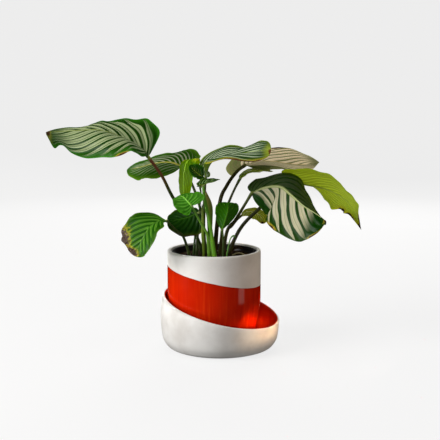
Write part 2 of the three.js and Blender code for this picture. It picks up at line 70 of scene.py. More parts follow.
class PotterySettings(bpy.types.PropertyGroup):
    turn_steps: IntProperty(
        name="Turn steps", description="Steps round each turned piece", default=192, min=24, max=256)
    pot_centre: FloatProperty(
        name="Pot centre", description="How far the pot stands to the right of the saucer's middle",
        default=-9.5 * MM, **LENGTH)
    rim_slope: FloatProperty(
        name="Saucer slope", description="Slope of the saucer's rim",
        default=math.radians(14.1), subtype="ANGLE")
    rim_high_side: FloatProperty(
        name="High side", description="Way from the middle to the highest point of the saucer's rim",
        default=math.radians(155), subtype="ANGLE")
    glaze_height: FloatProperty(
        name="Glaze height", description="Height of the glaze line on the pot's axis",
        default=119.9 * MM, **LENGTH)
    glaze_slope: FloatProperty(
        name="Glaze slope", description="Slope of the glaze line",
        default=math.radians(12.16), subtype="ANGLE")
    glaze_high_side: FloatProperty(
        name="Glaze high side", description="Way from the pot's axis to the glaze line's highest point",
        default=math.radians(169.9), subtype="ANGLE")
    white: FloatVectorProperty(
        name="White glaze", description="Colour of the pale ceramic", default=paint("EEEBE6"), **COLOUR)
    red: FloatVectorProperty(
        name="Red glaze", description="Colour of the glossy glaze", default=paint("C41C00"), **COLOUR)
    plastic: FloatVectorProperty(
        name="Nursery pot", description="Colour of the nursery pot's plastic",
        default=paint("1B1C20"), **COLOUR)


class SoilSettings(bpy.types.PropertyGroup):
    surface_height: FloatProperty(
        name="Surface", description="Height of the soil at the pot's wall", default=148.5 * MM, **LENGTH)
    mound: FloatProperty(
        name="Mound", description="How much higher the soil is in the middle", default=3 * MM, **LENGTH)
    crumb_density: FloatProperty(
        name="Crumb density", description="Crumbs of soil for each square metre", default=90000.0, min=0)
    crumb_size: FloatProperty(
        name="Crumb size", description="Radius of the largest crumbs", default=1.7 * MM, **LENGTH)
    perlite_density: FloatProperty(
        name="Perlite density", description="White grains for each square metre", default=1500.0, min=0)
    moss_density: FloatProperty(
        name="Moss density", description="Moss tips for each square metre of its tuft",
        default=260000.0, min=0)
    seed: IntProperty(name="Seed", description="Seed of the scatter", default=7)
    earth: FloatVectorProperty(
        name="Soil", description="Colour of damp potting soil", default=paint("2B1B12"), **COLOUR)


class LeafSettings(bpy.types.PropertyGroup):
    thickness: FloatProperty(
        name="Blade thickness", description="Thickness of a leaf blade", default=0.5 * MM, **LENGTH)
    vein_height: FloatProperty(
        name="Vein relief", description="Height of the folds that follow the veins",
        default=0.55 * MM, **LENGTH)
    flutter: FloatProperty(
        name="Edge flutter", description="Height of the small waves along the edge",
        default=1.2 * MM, **LENGTH)
    translucency: FloatProperty(
        name="Translucency", description="Share of the light that goes through a blade", default=0.34,
        min=0, max=1, subtype="FACTOR")
    stem_sides: IntProperty(name="Stem sides", description="Sides of a stem", default=16, min=6, max=48)


class StageSettings(bpy.types.PropertyGroup):
    backdrop: FloatVectorProperty(
        name="Backdrop", description="Colour of the floor and the curved wall round it",
        default=paint("6C6B6A"), **COLOUR)
    backdrop_glow: FloatProperty(
        name="Backdrop glow", description="Even light that the backdrop gives off for the camera alone",
        default=0.78, min=0)
    camera_place: FloatVectorProperty(
        name="Camera", description="Where the camera stands", subtype="XYZ", size=3, unit="LENGTH",
        default=(0, -1.5237, 0.4183))
    camera_pitch: FloatProperty(
        name="Camera pitch", description="How far the camera looks down", default=0.138, subtype="ANGLE")
    lens: FloatProperty(
        name="Lens", description="Focal length for a sensor 36 mm wide", default=78.69, min=1)
    key_power: FloatProperty(
        name="Key light", description="Power of the main soft light", default=57.0, min=0, unit="POWER")
    sky: FloatProperty(
        name="Sky", description="Strength of the even white light from all round", default=0.22, min=0)


# Nodes

NUMBER, WHOLE, TONE, GEOMETRY, MATERIAL = (
    "NodeSocket" + kind for kind in ("Float", "Int", "Color", "Geometry", "Material"))


class Wire:
    """A node's output, which can be reckoned with like a number."""

    def __init__(self, nodes, socket):
        self.nodes, self.socket = nodes, socket

    def __add__(self, other):
        return self.nodes.maths("ADD", self, other)

    def __sub__(self, other):
        return self.nodes.maths("SUBTRACT", self, other)

    def __rsub__(self, other):
        return self.nodes.maths("SUBTRACT", other, self)

    def __mul__(self, other):
        return self.nodes.maths("MULTIPLY", self, other)

    def __truediv__(self, other):
        return self.nodes.maths("DIVIDE", self, other)


class Nodes:
    """Adds nodes to a tree and links or fills their inputs."""

    def __init__(self, tree):
        self.tree = tree

    def add(self, kind, inputs=None, **settings):
        node = self.tree.nodes.new(kind)
        for name, value in settings.items():
            setattr(node, name, value)
        for key, value in (inputs or {}).items():
            self.feed(node.inputs[key], value)
        return node

    def feed(self, socket, value):
        if isinstance(value, Wire):
            self.tree.links.new(value.socket, socket)
        else:
            socket.default_value = value

    def wire(self, kind, inputs=None, output=0, **settings):
        """Adds a node and gives one of its outputs."""
        return Wire(self, self.add(kind, inputs, **settings).outputs[output])

    def maths(self, operation, *values):
        return self.wire("ShaderNodeMath", dict(enumerate(values)), operation=operation)

    def step(self, value, low, high):
        """0 below low, 1 above high, and smooth between them."""
        return self.wire("ShaderNodeMapRange", {"Value": value, "From Min": low, "From Max": high},
                         interpolation_type="SMOOTHSTEP")

    def fall(self, value, low, high):
        """1 below low, 0 above high, and smooth between them."""
        return 1.0 - self.step(value, low, high)

    def between(self, share, first, second):
        """A number on the way from first to second."""
        return share * self.maths("SUBTRACT", second, first) + first

    def blend(self, share, first, second):
        """A colour on the way from first to second."""
        return self.wire("ShaderNodeMix", {0: share, 6: first, 7: second}, output=2, data_type="RGBA")

    def noise(self, vector, scale=1.0, detail=2.0, roughness=0.5):
        return self.wire("ShaderNodeTexNoise", {
            "Vector": vector, "Scale": scale, "Detail": detail, "Roughness": roughness})

    def vector(self, x=0.0, y=0.0, z=0.0):
        return self.wire("ShaderNodeCombineXYZ", {0: x, 1: y, 2: z})

    def parts(self, vector):
        """The x, y and z of a vector."""
        node = self.add("ShaderNodeSeparateXYZ", {0: vector})
        return [Wire(self, output) for output in node.outputs]

    def scaled(self, vector, share):
        return self.wire("ShaderNodeVectorMath", {0: vector, "Scale": share}, operation="SCALE")

    def stretched(self, vector, scale):
        return self.wire("ShaderNodeMapping", {"Vector": vector, "Scale": scale})

    def place(self):
        """Where the shaded point lies on its own piece."""
        return self.wire("ShaderNodeTexCoord", output="Object")

    def attribute(self, name):
        """A number that the shaded point holds."""
        return self.wire("ShaderNodeAttribute", output="Fac", attribute_name=name)

    def held(self, name, kind="FLOAT"):
        """A value that each point of a mesh holds."""
        return self.wire("GeometryNodeInputNamedAttribute", {"Name": name}, data_type=kind)

    def close(self, mesh, given, result):
        """Ends a geometry tree with a plain mesh in the material that is given."""
        real = self.wire("GeometryNodeRealizeInstances", {"Geometry": mesh})
        self.feed(result[0], self.wire("GeometryNodeSetMaterial", {
            "Geometry": real, "Material": given["Material"]}))
        return self.tree


def socket_key(name):
    """A socket's name as it is written in this script's tables and calls."""
    return name.lower().replace(" ", "_")


def new_group(name, kind, sockets_in, sockets_out):
    """An empty node group, its inputs by name and its results' sockets. The sockets are named as
    (name, type, default)."""
    group = bpy.data.node_groups.new(name, kind)
    for title, socket, *default in sockets_in:
        made = group.interface.new_socket(title, in_out="INPUT", socket_type=socket)
        if default:
            made.default_value = default[0]
    for title, socket in sockets_out:
        group.interface.new_socket(title, in_out="OUTPUT", socket_type=socket)
    nodes = Nodes(group)
    given = {socket.name: Wire(nodes, socket)
             for socket in nodes.add("NodeGroupInput").outputs if socket.name}
    return nodes, given, nodes.add("NodeGroupOutput").inputs


def geometry_group(name, source, *sockets):
    """A geometry tree that starts from the geometry called source and makes one mesh."""
    return new_group(name, "GeometryNodeTree", [(source, GEOMETRY), *sockets, ("Material", MATERIAL)],
                     [("Mesh", GEOMETRY)])


def surface(name):
    """A new material with its nodes, its Principled node and its output node."""
    material = bpy.data.materials.new(name)
    material.use_nodes = True
    material.node_tree.nodes.clear()
    nodes = Nodes(material.node_tree)
    shader = nodes.add("ShaderNodeBsdfPrincipled")
    output = nodes.add("ShaderNodeOutputMaterial", {"Surface": Wire(nodes, shader.outputs[0])})
    return material, nodes, shader, output


def finish_surface(nodes, shader, colour, roughness, height, strength, depth):
    """Gives a surface its colour, its roughness and its fine relief, with the relief's depth."""
    relief = nodes.wire("ShaderNodeBump", {"Height": height, "Strength": strength, "Distance": depth})
    for name, value in (("Base Color", colour), ("Roughness", roughness), ("Normal", relief)):
        nodes.feed(shader.inputs[name], value)


# Meshes and pieces


def add_object(name, data):
    """A new object in the scene, at the origin."""
    made = bpy.data.objects.new(name, data)
    bpy.context.scene.collection.objects.link(made)
    return made


def mesh_from(name, points, faces=(), edges=()):
    mesh = bpy.data.meshes.new(name)
    mesh.from_pydata([tuple(p) for p in points], edges, faces)
    mesh.update()
    return mesh


def line_from(name, points):
    """Points in millimetres, joined one after the other."""
    return mesh_from(name, np.asarray(points) * MM, edges=[(i, i + 1) for i in range(len(points) - 1)])


def point_attribute(mesh, name, values, kind="FLOAT"):
    """Stores a value at each point of a mesh."""
    layer = mesh.attributes.new(name, kind, "POINT")
    layer.data.foreach_set("vector" if kind == "FLOAT_VECTOR" else "value",
                           np.asarray(values, np.float32).ravel())


def points_of(mesh):
    """The points of a mesh, in millimetres."""
    points = np.zeros(len(mesh.vertices) * 3, np.float32)
    mesh.vertices.foreach_get("co", points)
    return points.reshape(-1, 3).astype(float) / MM


def move_points(mesh, points):
    mesh.vertices.foreach_set("co", (points * MM).astype(np.float32).ravel())
    mesh.update()


def run_tree(made, tree, **values):
    """Runs a geometry tree on an object, fills its inputs by name and keeps the result as a mesh."""
    modifier = made.modifiers.new(tree.name, "NODES")
    modifier.node_group = tree
    for item in tree.interface.items_tree:
        key = socket_key(item.name)
        if item.in_out == "INPUT" and key in values:
            value = values[key]
            modifier[item.identifier] = float(value) if item.socket_type == NUMBER else value
    bpy.context.view_layer.update()
    evaluated = made.evaluated_get(bpy.context.evaluated_depsgraph_get())
    mesh = bpy.data.meshes.new_from_object(evaluated)
    made.modifiers.remove(modifier)
    made.data = mesh
    if not mesh.polygons:
        raise RuntimeError(f"{tree.name} made nothing for {made.name}")


def shade_smooth(mesh, sharp_from):
    """Smooth shading, with edges kept sharp from that many degrees on."""
    mesh.shade_smooth()
    mesh.set_sharp_from_angle(angle=math.radians(sharp_from))


def finish_piece(made, slot, *nodes):
    """Puts a piece on the body, in place of the solids that it stands for, if there are any."""
    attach(made, BODY)
    if nodes:
        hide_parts(*nodes)


def join(pieces, name):
    """One object from several, keeping their materials."""
    first = pieces[0]
    with bpy.context.temp_override(active_object=first, selected_editable_objects=pieces):
        bpy.ops.object.join()
    first.name = name
    return first


# Curves, in millimetres


def catmull(points, share):
    """Points on a smooth curve through points, at shares from 0 to 1."""
    points = np.asarray(points, float)
    spans = len(points) - 1
    place = np.clip(np.atleast_1d(np.asarray(share, float)), 0, 1) * spans
    i = np.minimum(place.astype(int), spans - 1)
    t = (place - i)[:, None]
    ends = np.vstack([2 * points[0] - points[1], points, 2 * points[-1] - points[-2]])
    a, b, c, d = ends[i], ends[i + 1], ends[i + 2], ends[i + 3]
    return 0.5 * (2 * b + (c - a) * t + (2 * a - 5 * b + 4 * c - d) * t ** 2
                  + (3 * b - a - 3 * c + d) * t ** 3)


def ahead_of(points, share):
    """The way ahead on the same curve."""
    step = 1e-3
    change = catmull(points, share + step) - catmull(points, share - step)
    return change / np.linalg.norm(change, axis=1, keepdims=True)


def rounded(profile, reach, steps):
    """A profile with its corners rounded off, each at most by reach, with so many points each."""
    points = [np.array(p, float) for p in profile]
    result = [points[0]]
    for before, corner, after in zip(points, points[1:], points[2:]):
        ends = []
        for other in (before, after):
            far = np.linalg.norm(other - corner)
            ends.append(corner + (other - corner) / far * min(reach, far / 2))
        for share in np.linspace(0, 1, steps):
            result.append((1 - share) ** 2 * ends[0] + 2 * share * (1 - share) * corner
                          + share ** 2 * ends[1])
    return np.array([*result, points[-1]])


# Pottery: every piece is a profile in millimetres, turned round an upright axis

MERGE_REACH = 0.01 * MM
SHARP_POTTERY = 50


def turning_tree():
    """Bends a grid round an upright axis, so that each of its rows is one point of the profile."""
    nodes, given, result = geometry_group(
        "Turned profile", "Profile", ("Points", WHOLE, 2), ("Steps", WHOLE, 96),
        ("Centre", NUMBER, 0.0), ("Inside From", WHOLE, 0))
    columns = given["Steps"] + 1.0
    grid = nodes.wire("GeometryNodeMeshGrid", {"Vertices X": given["Points"], "Vertices Y": columns})
    index = nodes.wire("GeometryNodeInputIndex")
    row = nodes.maths("FLOOR", (index + 0.5) / columns)
    angle = (index - row * columns) * math.tau / given["Steps"]
    profile = nodes.wire("GeometryNodeSampleIndex", {
        "Geometry": given["Profile"], "Value": nodes.wire("GeometryNodeInputPosition"), "Index": row},
        data_type="FLOAT_VECTOR")
    radius, _, height = nodes.parts(profile)
    placed = nodes.wire("GeometryNodeSetPosition", {"Geometry": grid, "Position": nodes.vector(
        radius * nodes.maths("COSINE", angle) + given["Centre"],
        radius * nodes.maths("SINE", angle), height)})
    inside = nodes.maths("GREATER_THAN", row, given["Inside From"] - 0.5)
    stored = nodes.wire("GeometryNodeStoreNamedAttribute", {
        "Geometry": placed, "Name": "inside", "Value": inside}, data_type="FLOAT", domain="POINT")
    merged = nodes.wire("GeometryNodeMergeByDistance", {"Geometry": stored, "Distance": MERGE_REACH})
    return nodes.close(merged, given, result)


def turn(name, profile, material, **places):
    """A turned piece from its profile, as pairs of radius and height."""
    made = add_object(name, line_from(name, [(radius, 0, height) for radius, height in profile]))
    run_tree(made, turning_tree(), points=len(profile), material=material,
             steps=bpy.context.scene.calathea_pottery.turn_steps, **places)
    shade_smooth(made.data, SHARP_POTTERY)
    return made


def finish_turned(made, slot, node):
    """Turns the faces of a turned piece outwards, since the grid is bent with them inwards."""
    made.data.flip_normals()
    finish_piece(made, slot, node)


# Height and outer radius up the saucer's side. Above its level part the wall follows the slant.
SAUCER_SIDE = ((0, 76), (3, 83), (8, 88), (20, 93.4), (50, 96), (75, 94.2), (95, 90.3))
SAUCER_LEVEL_PART = 8.0
SAUCER_RIM_MIDDLE = 67.6
SAUCER_LIP = 1.6
SAUCER_WALL = 5.0
SAUCER_FLOOR = 6.0
SAUCER_FLOOR_RADIUS = 79
CORNER_REACH = 1.2
CORNER_POINTS = 4


def saucer_radius(height):
    """Outer radius of the saucer at a height, on a smooth curve through its measures."""
    heights, radii = catmull(SAUCER_SIDE, np.linspace(0, 1, 200)).T
    return np.interp(height, heights, radii)


def saucer_profile():
    """The saucer as if its rim were level, and the number of the first point inside it."""
    wall_top = SAUCER_RIM_MIDDLE - SAUCER_LIP
    rim = saucer_radius(SAUCER_RIM_MIDDLE)
    outside = [(0, 0), (saucer_radius(0) - 0.8, 0)]
    outside += [(saucer_radius(z), z) for z in np.linspace(0, wall_top, 26)[1:]]
    lip = [(rim - 1.1, SAUCER_RIM_MIDDLE), (rim - 3.6, SAUCER_RIM_MIDDLE)]
    inside = [(saucer_radius(z) - SAUCER_WALL, z) for z in np.linspace(wall_top, 11, 22)]
    floor = [(SAUCER_FLOOR_RADIUS, SAUCER_FLOOR), (0, SAUCER_FLOOR)]
    profile = rounded(outside + lip + inside + floor, CORNER_REACH, CORNER_POINTS)
    return profile, 1 + CORNER_POINTS * len(outside)


def slant_rim(mesh, settings):
    """Cuts the saucer's rim on a slant: each wall point moves by its share of the wall's height."""
    x, y, z = points_of(mesh).T
    radius = np.hypot(x, y)
    toward = x * math.cos(settings.rim_high_side) + y * math.sin(settings.rim_high_side)
    rim = SAUCER_RIM_MIDDLE + math.tan(settings.rim_slope) * toward
    reach = (rim - SAUCER_LEVEL_PART) / (SAUCER_RIM_MIDDLE - SAUCER_LEVEL_PART)
    height = SAUCER_LEVEL_PART + (z - SAUCER_LEVEL_PART) * reach
    moved = radius + saucer_radius(height) - saucer_radius(z)
    wall = (z > SAUCER_LEVEL_PART) & (radius > 1)
    scale = np.where(wall, moved / np.maximum(radius, 1), 1)
    move_points(mesh, np.stack([x * scale, y * scale, np.where(wall, height, z)], 1))


WHITE_MOTTLE = paint("D9D4CD")


def finish_ceramic(nodes, shader, place, mottle, glazed, red, white, dull, gloss, ior):
    """White where glazed is 0 and red where it is 1, on fired clay with faint throwing rings and
    lumps. Dull and gloss are the roughness of the two."""
    white = nodes.blend(nodes.step(mottle, 0.35, 0.75), white, WHITE_MOTTLE)
    rings = nodes.noise(nodes.vector(z=nodes.parts(place)[2]), 420.0, 3.0)
    finish_surface(nodes, shader, nodes.blend(glazed, white, red),
                   mottle * 0.06 + glazed * (gloss - dull) + dull,
                   rings * 0.35 + nodes.noise(place, 60.0, 3.0), 0.35, 0.25 * MM)
    shader.inputs["IOR"].default_value = ior


def saucer_material(settings):
    """White outside and red inside."""
    material, nodes, shader, _ = surface("Saucer ceramic")
    place = nodes.place()
    mottle = nodes.noise(place, 25.0, 4.0)
    red = nodes.blend(nodes.step(mottle, 0.3, 0.7), settings.red, paint("D82A06"))
    finish_ceramic(nodes, shader, place, mottle, nodes.step(nodes.attribute("inside"), 0.35, 0.65), red,
                   settings.white, dull=0.46, gloss=0.1, ior=1.5)
    return material


def pot_material(settings):
    """White above a slanted line and glossy red below it, with a darker bead where they meet."""
    material, nodes, shader, _ = surface("Pot glaze")
    place = nodes.place()
    x, y, z = nodes.parts(place)
    rise = math.tan(settings.glaze_slope)
    line = ((x - settings.pot_centre) * (rise * math.cos(settings.glaze_high_side))
            + y * (rise * math.sin(settings.glaze_high_side)) + settings.glaze_height)
    waver = nodes.noise(place, 35.0, 2.0) * (1.6 * MM) - 0.8 * MM
    above = z - (line + waver)
    glazed = nodes.fall(above, -0.35 * MM, 0.35 * MM)
    bead = nodes.step(above, -2.6 * MM, -0.4 * MM) * glazed
    mottle = nodes.noise(place, 22.0, 4.0)
    streak = nodes.noise(nodes.stretched(place, (220.0, 220.0, 5.0)), 1.0, 3.0, 0.6)
    red = nodes.blend(nodes.step(mottle, 0.3, 0.7), settings.red, paint("CC2402"))
    red = nodes.blend(nodes.step(streak, 0.5, 0.75) * 0.5, red, paint("E8430E"))
    red = nodes.blend(nodes.fall(streak, 0.25, 0.45) * 0.4, red, paint("8A0A02"))
    red = nodes.blend(bead * 0.55, red, paint("8A0E04"))
    finish_ceramic(nodes, shader, place, mottle, glazed, red, settings.white, dull=0.47, gloss=0.08,
                   ior=1.65)
    return material


def plastic_material(settings):
    """Black plastic with a little dust."""
    material, nodes, shader, _ = surface("Nursery pot plastic")
    place = nodes.place()
    dust = nodes.noise(place, 90.0, 5.0, 0.6)
    colour = nodes.blend(nodes.step(dust, 0.5, 0.8), settings.plastic, paint("34322F"))
    finish_surface(nodes, shader, colour, dust * 0.3 + 0.18, nodes.noise(place, 900.0), 0.15, 0.1 * MM)
    return material


class CALATHEA_OT_saucer(bpy.types.Operator):
    """Build the saucer with its slanted rim"""
    bl_idname = "calathea.saucer"
    bl_label = "Saucer"

    def execute(self, context):
        settings = context.scene.calathea_pottery
        profile, inside_from = saucer_profile()
        made = turn("saucer_glazed", profile, saucer_material(settings), inside_from=inside_from)
        slant_rim(made.data, settings)
        finish_turned(made, "saucer_glaze", "saucer")
        return {"FINISHED"}


# Radius and height all round each wall, from the drain hole out, up, in and down again
POT_HOLE = 7
POT_PROFILE = (
    (POT_HOLE, 6.3), (60, 6.3), (63.5, 9.3), (67.5, 24.3), (70.6, 42.3), (73.4, 60.3), (75, 78.3),
    (75, 158), (73.5, 159.5), (70.5, 159.5), (69, 158), (69, 78.3), (67.2, 60.3), (64.4, 42.3),
    (61, 24.3), (56, 13.3), (POT_HOLE, 13.3), (POT_HOLE, 6.3),
)
NURSERY_HOLE = 38
NURSERY_PROFILE = (
    (NURSERY_HOLE, 13.6), (54, 13.6), (63.8, 148.5), (67.6, 148.5), (67.6, 156.5), (66.6, 157.5),
    (62.9, 157.5), (63.2, 152), (62.2, 148), (52.4, 15.2), (NURSERY_HOLE, 15.2), (NURSERY_HOLE, 13.6),
)


class CALATHEA_OT_pot(bpy.types.Operator):
    """Build the two-tone glazed pot"""
    bl_idname = "calathea.pot"
    bl_label = "Pot"

    def execute(self, context):
        settings = context.scene.calathea_pottery
        made = turn("pot_glazed", rounded(POT_PROFILE, 6, 5), pot_material(settings),
                    centre=settings.pot_centre)
        finish_turned(made, "pot_glaze", "pot")
        return {"FINISHED"}


class CALATHEA_OT_nursery_pot(bpy.types.Operator):
    """Build the plastic nursery pot inside the glazed pot"""
    bl_idname = "calathea.nursery_pot"
    bl_label = "Nursery pot"

    def execute(self, context):
        settings = context.scene.calathea_pottery
        made = turn("nursery_pot_plastic", rounded(NURSERY_PROFILE, 0.8, 4), plastic_material(settings),
                    centre=settings.pot_centre)
        finish_turned(made, "nursery_plastic", "nursery_pot")
        return {"FINISHED"}


# Blades: one formula gives a blade's middle surface, in millimetres

WAVE_HEIGHT = 0.035
BLADE_START, BLADE_LENGTH = 0.03, 0.962
COLUMN_CROWDING = 0.92
MARGIN = 0.06
MARGIN_THICKNESS = 0.35
SHARP_PLANT = 60


def width_share(outline, share):
    """Half a blade's width at a share of its length, as a share of its widest place."""
    blunt, sharp = outline
    widest = blunt / (blunt + sharp)
    return (share / widest) ** blunt * ((1 - share) / (1 - widest)) ** sharp


def blade_points(leaf, share, across):
    """The middle surface: a row for each place along the midrib, a column for each place across."""
    path = [leaf["stem"][-1], *leaf["midrib"]]
    ahead = ahead_of(path, share)
    heading = math.radians(leaf["heading"])
    right = np.array([math.sin(heading), -math.cos(heading), 0.0])
    right = right - (ahead @ right)[:, None] * ahead
    right /= np.linalg.norm(right, axis=1, keepdims=True)
    up = np.cross(right, ahead)
    midrib = catmull(path, share)
    shape = width_share(leaf["outline"], share)
    columns = []
    for place in across:
        side, sign = (0, -1) if place < 0 else (1, 1)
        out = abs(place)
        width = leaf["half"][side] * shape * out
        base, middle, tip = leaf["rise"][side]
        rise = np.radians(base * (1 - share) * (1 - 2 * share) + 4 * middle * share * (1 - share)
                          + tip * share * (2 * share - 1))
        curl = math.radians(leaf["curl"][side]) * out or 1e-6
        outward = width * (np.sin(rise + curl) - np.sin(rise)) / curl
        upward = width * (np.cos(rise) - np.cos(rise + curl)) / curl
        back, on = leaf["sweep"][side]
        sweep = np.tan(np.radians(-back + (on + back) * share))
        upward = upward + WAVE_HEIGHT * width * out * np.sin(math.tau * (3 * share + side / 3))
        for crest_side, where, reach, lift in leaf.get("crests", ()):
            if crest_side == side:
                upward = upward + lift * out ** 2 * np.exp(-((share - where) / reach) ** 2)
        columns.append(midrib + sign * outward[:, None] * right + upward[:, None] * up
                       + (width * sweep)[:, None] * ahead)
    return np.stack(columns, 1)


def grid_normals(grid):
    """The way up at each point of a blade's grid."""
    normal = np.cross(np.gradient(grid, axis=1), np.gradient(grid, axis=0))
    return normal / np.maximum(np.linalg.norm(normal, axis=2, keepdims=True), 1e-9)


def blade_mesh(name, leaf, rows, columns, thickness):
    """A thin closed blade with its place on the leaf as its map and the way up at each point."""
    share = 0.5 - 0.5 * np.cos(np.pi * (BLADE_START + BLADE_LENGTH * np.linspace(0, 1, rows + 1)))
    across = np.linspace(-1, 1, columns + 1)
    across = np.sign(across) * np.abs(across) ** COLUMN_CROWDING
    across[columns // 2] = 1e-4
    middle = blade_points(leaf, share, across)
    lift = grid_normals(middle)
    taper = np.clip((1 - np.abs(across)) / MARGIN, MARGIN_THICKNESS, 1)[None, :, None]
    half = lift * (thickness / MM / 2) * taper
    points = np.concatenate([(middle + half).reshape(-1, 3), (middle - half).reshape(-1, 3)]) * MM
    wide = columns + 1
    size = wide * (rows + 1)
    i, j = np.meshgrid(np.arange(rows), np.arange(columns), indexing="ij")
    a = (i * wide + j).ravel()
    upper = np.stack([a, a + 1, a + wide + 1, a + wide], 1)
    lower = np.stack([a, a + wide, a + wide + 1, a + 1], 1) + size
    ring = np.array([j for j in range(columns)] + [i * wide + columns for i in range(rows)]
                    + [rows * wide + j for j in range(columns, 0, -1)]
                    + [i * wide for i in range(rows, 0, -1)])
    after = np.roll(ring, -1)
    wall = np.stack([after, ring, ring + size, after + size], 1)
    faces = np.concatenate([upper, lower, wall])
    mesh = mesh_from(name, points, faces.tolist())
    maps = np.stack(np.meshgrid(share, across / 2 + 0.5, indexing="ij"), 2).reshape(-1, 2)
    maps = np.concatenate([maps, maps]).astype(np.float32)
    layer = mesh.uv_layers.new(name="Blade")
    layer.data.foreach_set("uv", maps[faces.ravel()].ravel())
    point_attribute(mesh, "along", maps[:, 0])
    point_attribute(mesh, "across", maps[:, 1] * 2 - 1)
    point_attribute(mesh, "lift", np.concatenate([lift, lift]), "FLOAT_VECTOR")
    point_attribute(mesh, "under", np.repeat([0.0, 1.0], size))
    return mesh


# Veins: one formula for the folds in the blade and for its stripes

VEIN_SOCKETS = [("Veins", NUMBER, 7.0), ("Lean Left", NUMBER, 0.35), ("Lean Right", NUMBER, 0.35),
                ("Shift", NUMBER, 0.0)]
RIGHT_SHIFT = 0.37


def vein_place(nodes, given, along, across):
    """Where a point lies among the veins, where whole numbers are the middle between two veins,
    where its vein starts on the midrib, how far out it is, and whether it is on the right."""
    out = nodes.maths("ABSOLUTE", across)
    right = nodes.maths("GREATER_THAN", across, 0.0)
    start = along - nodes.between(right, given["Lean Left"], given["Lean Right"]) * out
    place = start * given["Veins"] + given["Shift"] + right * RIGHT_SHIFT
    return place, start, out, right


def relief_tree():
    """Folds a blade along its veins and waves its edge."""
    nodes, given, result = geometry_group(
        "Vein relief", "Blade", *VEIN_SOCKETS, ("Height", NUMBER, 0.5 * MM),
        ("Flutter", NUMBER, 1.0 * MM), ("Seed", NUMBER, 0.0))
    along, across = nodes.held("along"), nodes.held("across")
    place, _, out, _ = vein_place(nodes, given, along, across)
    calm = nodes.step(out, 0.0, 0.2) * (1.0 - nodes.step(out, 0.7, 1.0) * 0.6)
    ends = nodes.step(along, 0.0, 0.12) * nodes.fall(along, 0.9, 1.0)
    fold = nodes.maths("COSINE", place * math.tau) * calm * ends - nodes.fall(out, 0.0, 0.05)
    ripple = nodes.noise(nodes.vector(along * 9.0, across * 1.2, given["Seed"]), 1.0, 1.0)
    wave = (ripple * 2.0 - 1.0) * nodes.maths("POWER", out, 3.0) * ends
    height = fold * given["Height"] + wave * given["Flutter"]
    moved = nodes.wire("GeometryNodeSetPosition", {
        "Geometry": given["Blade"],
        "Offset": nodes.scaled(nodes.held("lift", "FLOAT_VECTOR"), height)})
    return nodes.close(moved, given, result)


TONES = ("Pale", "Ground", "Second", "Line", "Rib", "Edge", "Underside")


def marking_group():
    """The stripes of a blade: pale bands along the veins on a dark ground, a pale rib and a thin
    edge. Its height is the fine grain of the skin."""
    numbers = (("Band Width", 0.5), ("Band Reach", 0.85), ("First Left", -1.0), ("First Right", -1.0),
               ("Last Band", 0.9), ("Left Bands", 1.0), ("Vein Line", 0.5), ("Rib Width", 0.03),
               ("Under Share", 0.55), ("Seed", 0.0))
    nodes, given, result = new_group(
        "Leaf markings", "ShaderNodeTree",
        [*VEIN_SOCKETS, *((name, NUMBER, value) for name, value in numbers),
         *((name, TONE) for name in TONES)],
        [("Color", TONE), ("Height", NUMBER), ("Along", NUMBER), ("Across", NUMBER)])
    along, across, _ = nodes.parts(nodes.wire("ShaderNodeUVMap", uv_map="Blade"))
    across = across * 2.0 - 1.0
    place, start, out, right = vein_place(nodes, given, along, across)
    seed = given["Seed"]
    slow = nodes.noise(nodes.vector(start * 5.0, across * 1.5, seed))
    streak = nodes.noise(nodes.vector(place * 6.0, out * 1.6, seed), 1.0, 3.0, 0.6)
    fine = nodes.noise(nodes.vector(place * 22.0, out * 3.0, seed), 1.0, 2.0, 0.6)
    away = nodes.maths("ABSOLUTE", nodes.maths("FRACT", place) - 0.5) * 2.0
    reach, last = given["Band Reach"], given["Last Band"]
    width = given["Band Width"] * (slow * 1.1 + 0.45) * nodes.fall(out, reach - 0.35, reach + 0.1)
    first = nodes.between(right, given["First Left"], given["First Right"])
    band = (nodes.fall(away, width - 0.09, width + 0.07) * nodes.step(start, first - 0.06, first + 0.06)
            * nodes.fall(along, last - 0.1, last + 0.08) * nodes.between(right, given["Left Bands"], 1.0))
    ground = nodes.blend(nodes.step(streak, 0.3, 0.75), given["Ground"], given["Second"])
    ground = nodes.blend(nodes.step(out, 0.72, 1.0) * 0.5, ground, given["Edge"])
    tint = nodes.blend(nodes.step(fine, 0.35, 0.8) * 0.35, given["Pale"], given["Line"])
    colour = nodes.blend(band, ground, tint)
    line = nodes.fall(away, 0.04, 0.15) * given["Vein Line"] * nodes.step(out, 0.02, 0.2)
    colour = nodes.blend(line, colour, given["Line"])
    colour = nodes.blend(nodes.step(out, 0.955, 0.985) * 0.85, colour, given["Edge"])
    rib_width = given["Rib Width"] * (1.3 - along)
    colour = nodes.blend(nodes.fall(out, rib_width, rib_width * 1.8), colour, given["Rib"])
    below = nodes.blend(given["Under Share"], colour, given["Underside"])
    colour = nodes.blend(nodes.step(nodes.attribute("under"), 0.4, 0.6), colour, below)
    height = fine * 0.5 + streak * 0.6 - line * 0.8
    for socket, value in zip(result, (colour, height, along, across)):
        nodes.feed(socket, value)
    return nodes.tree


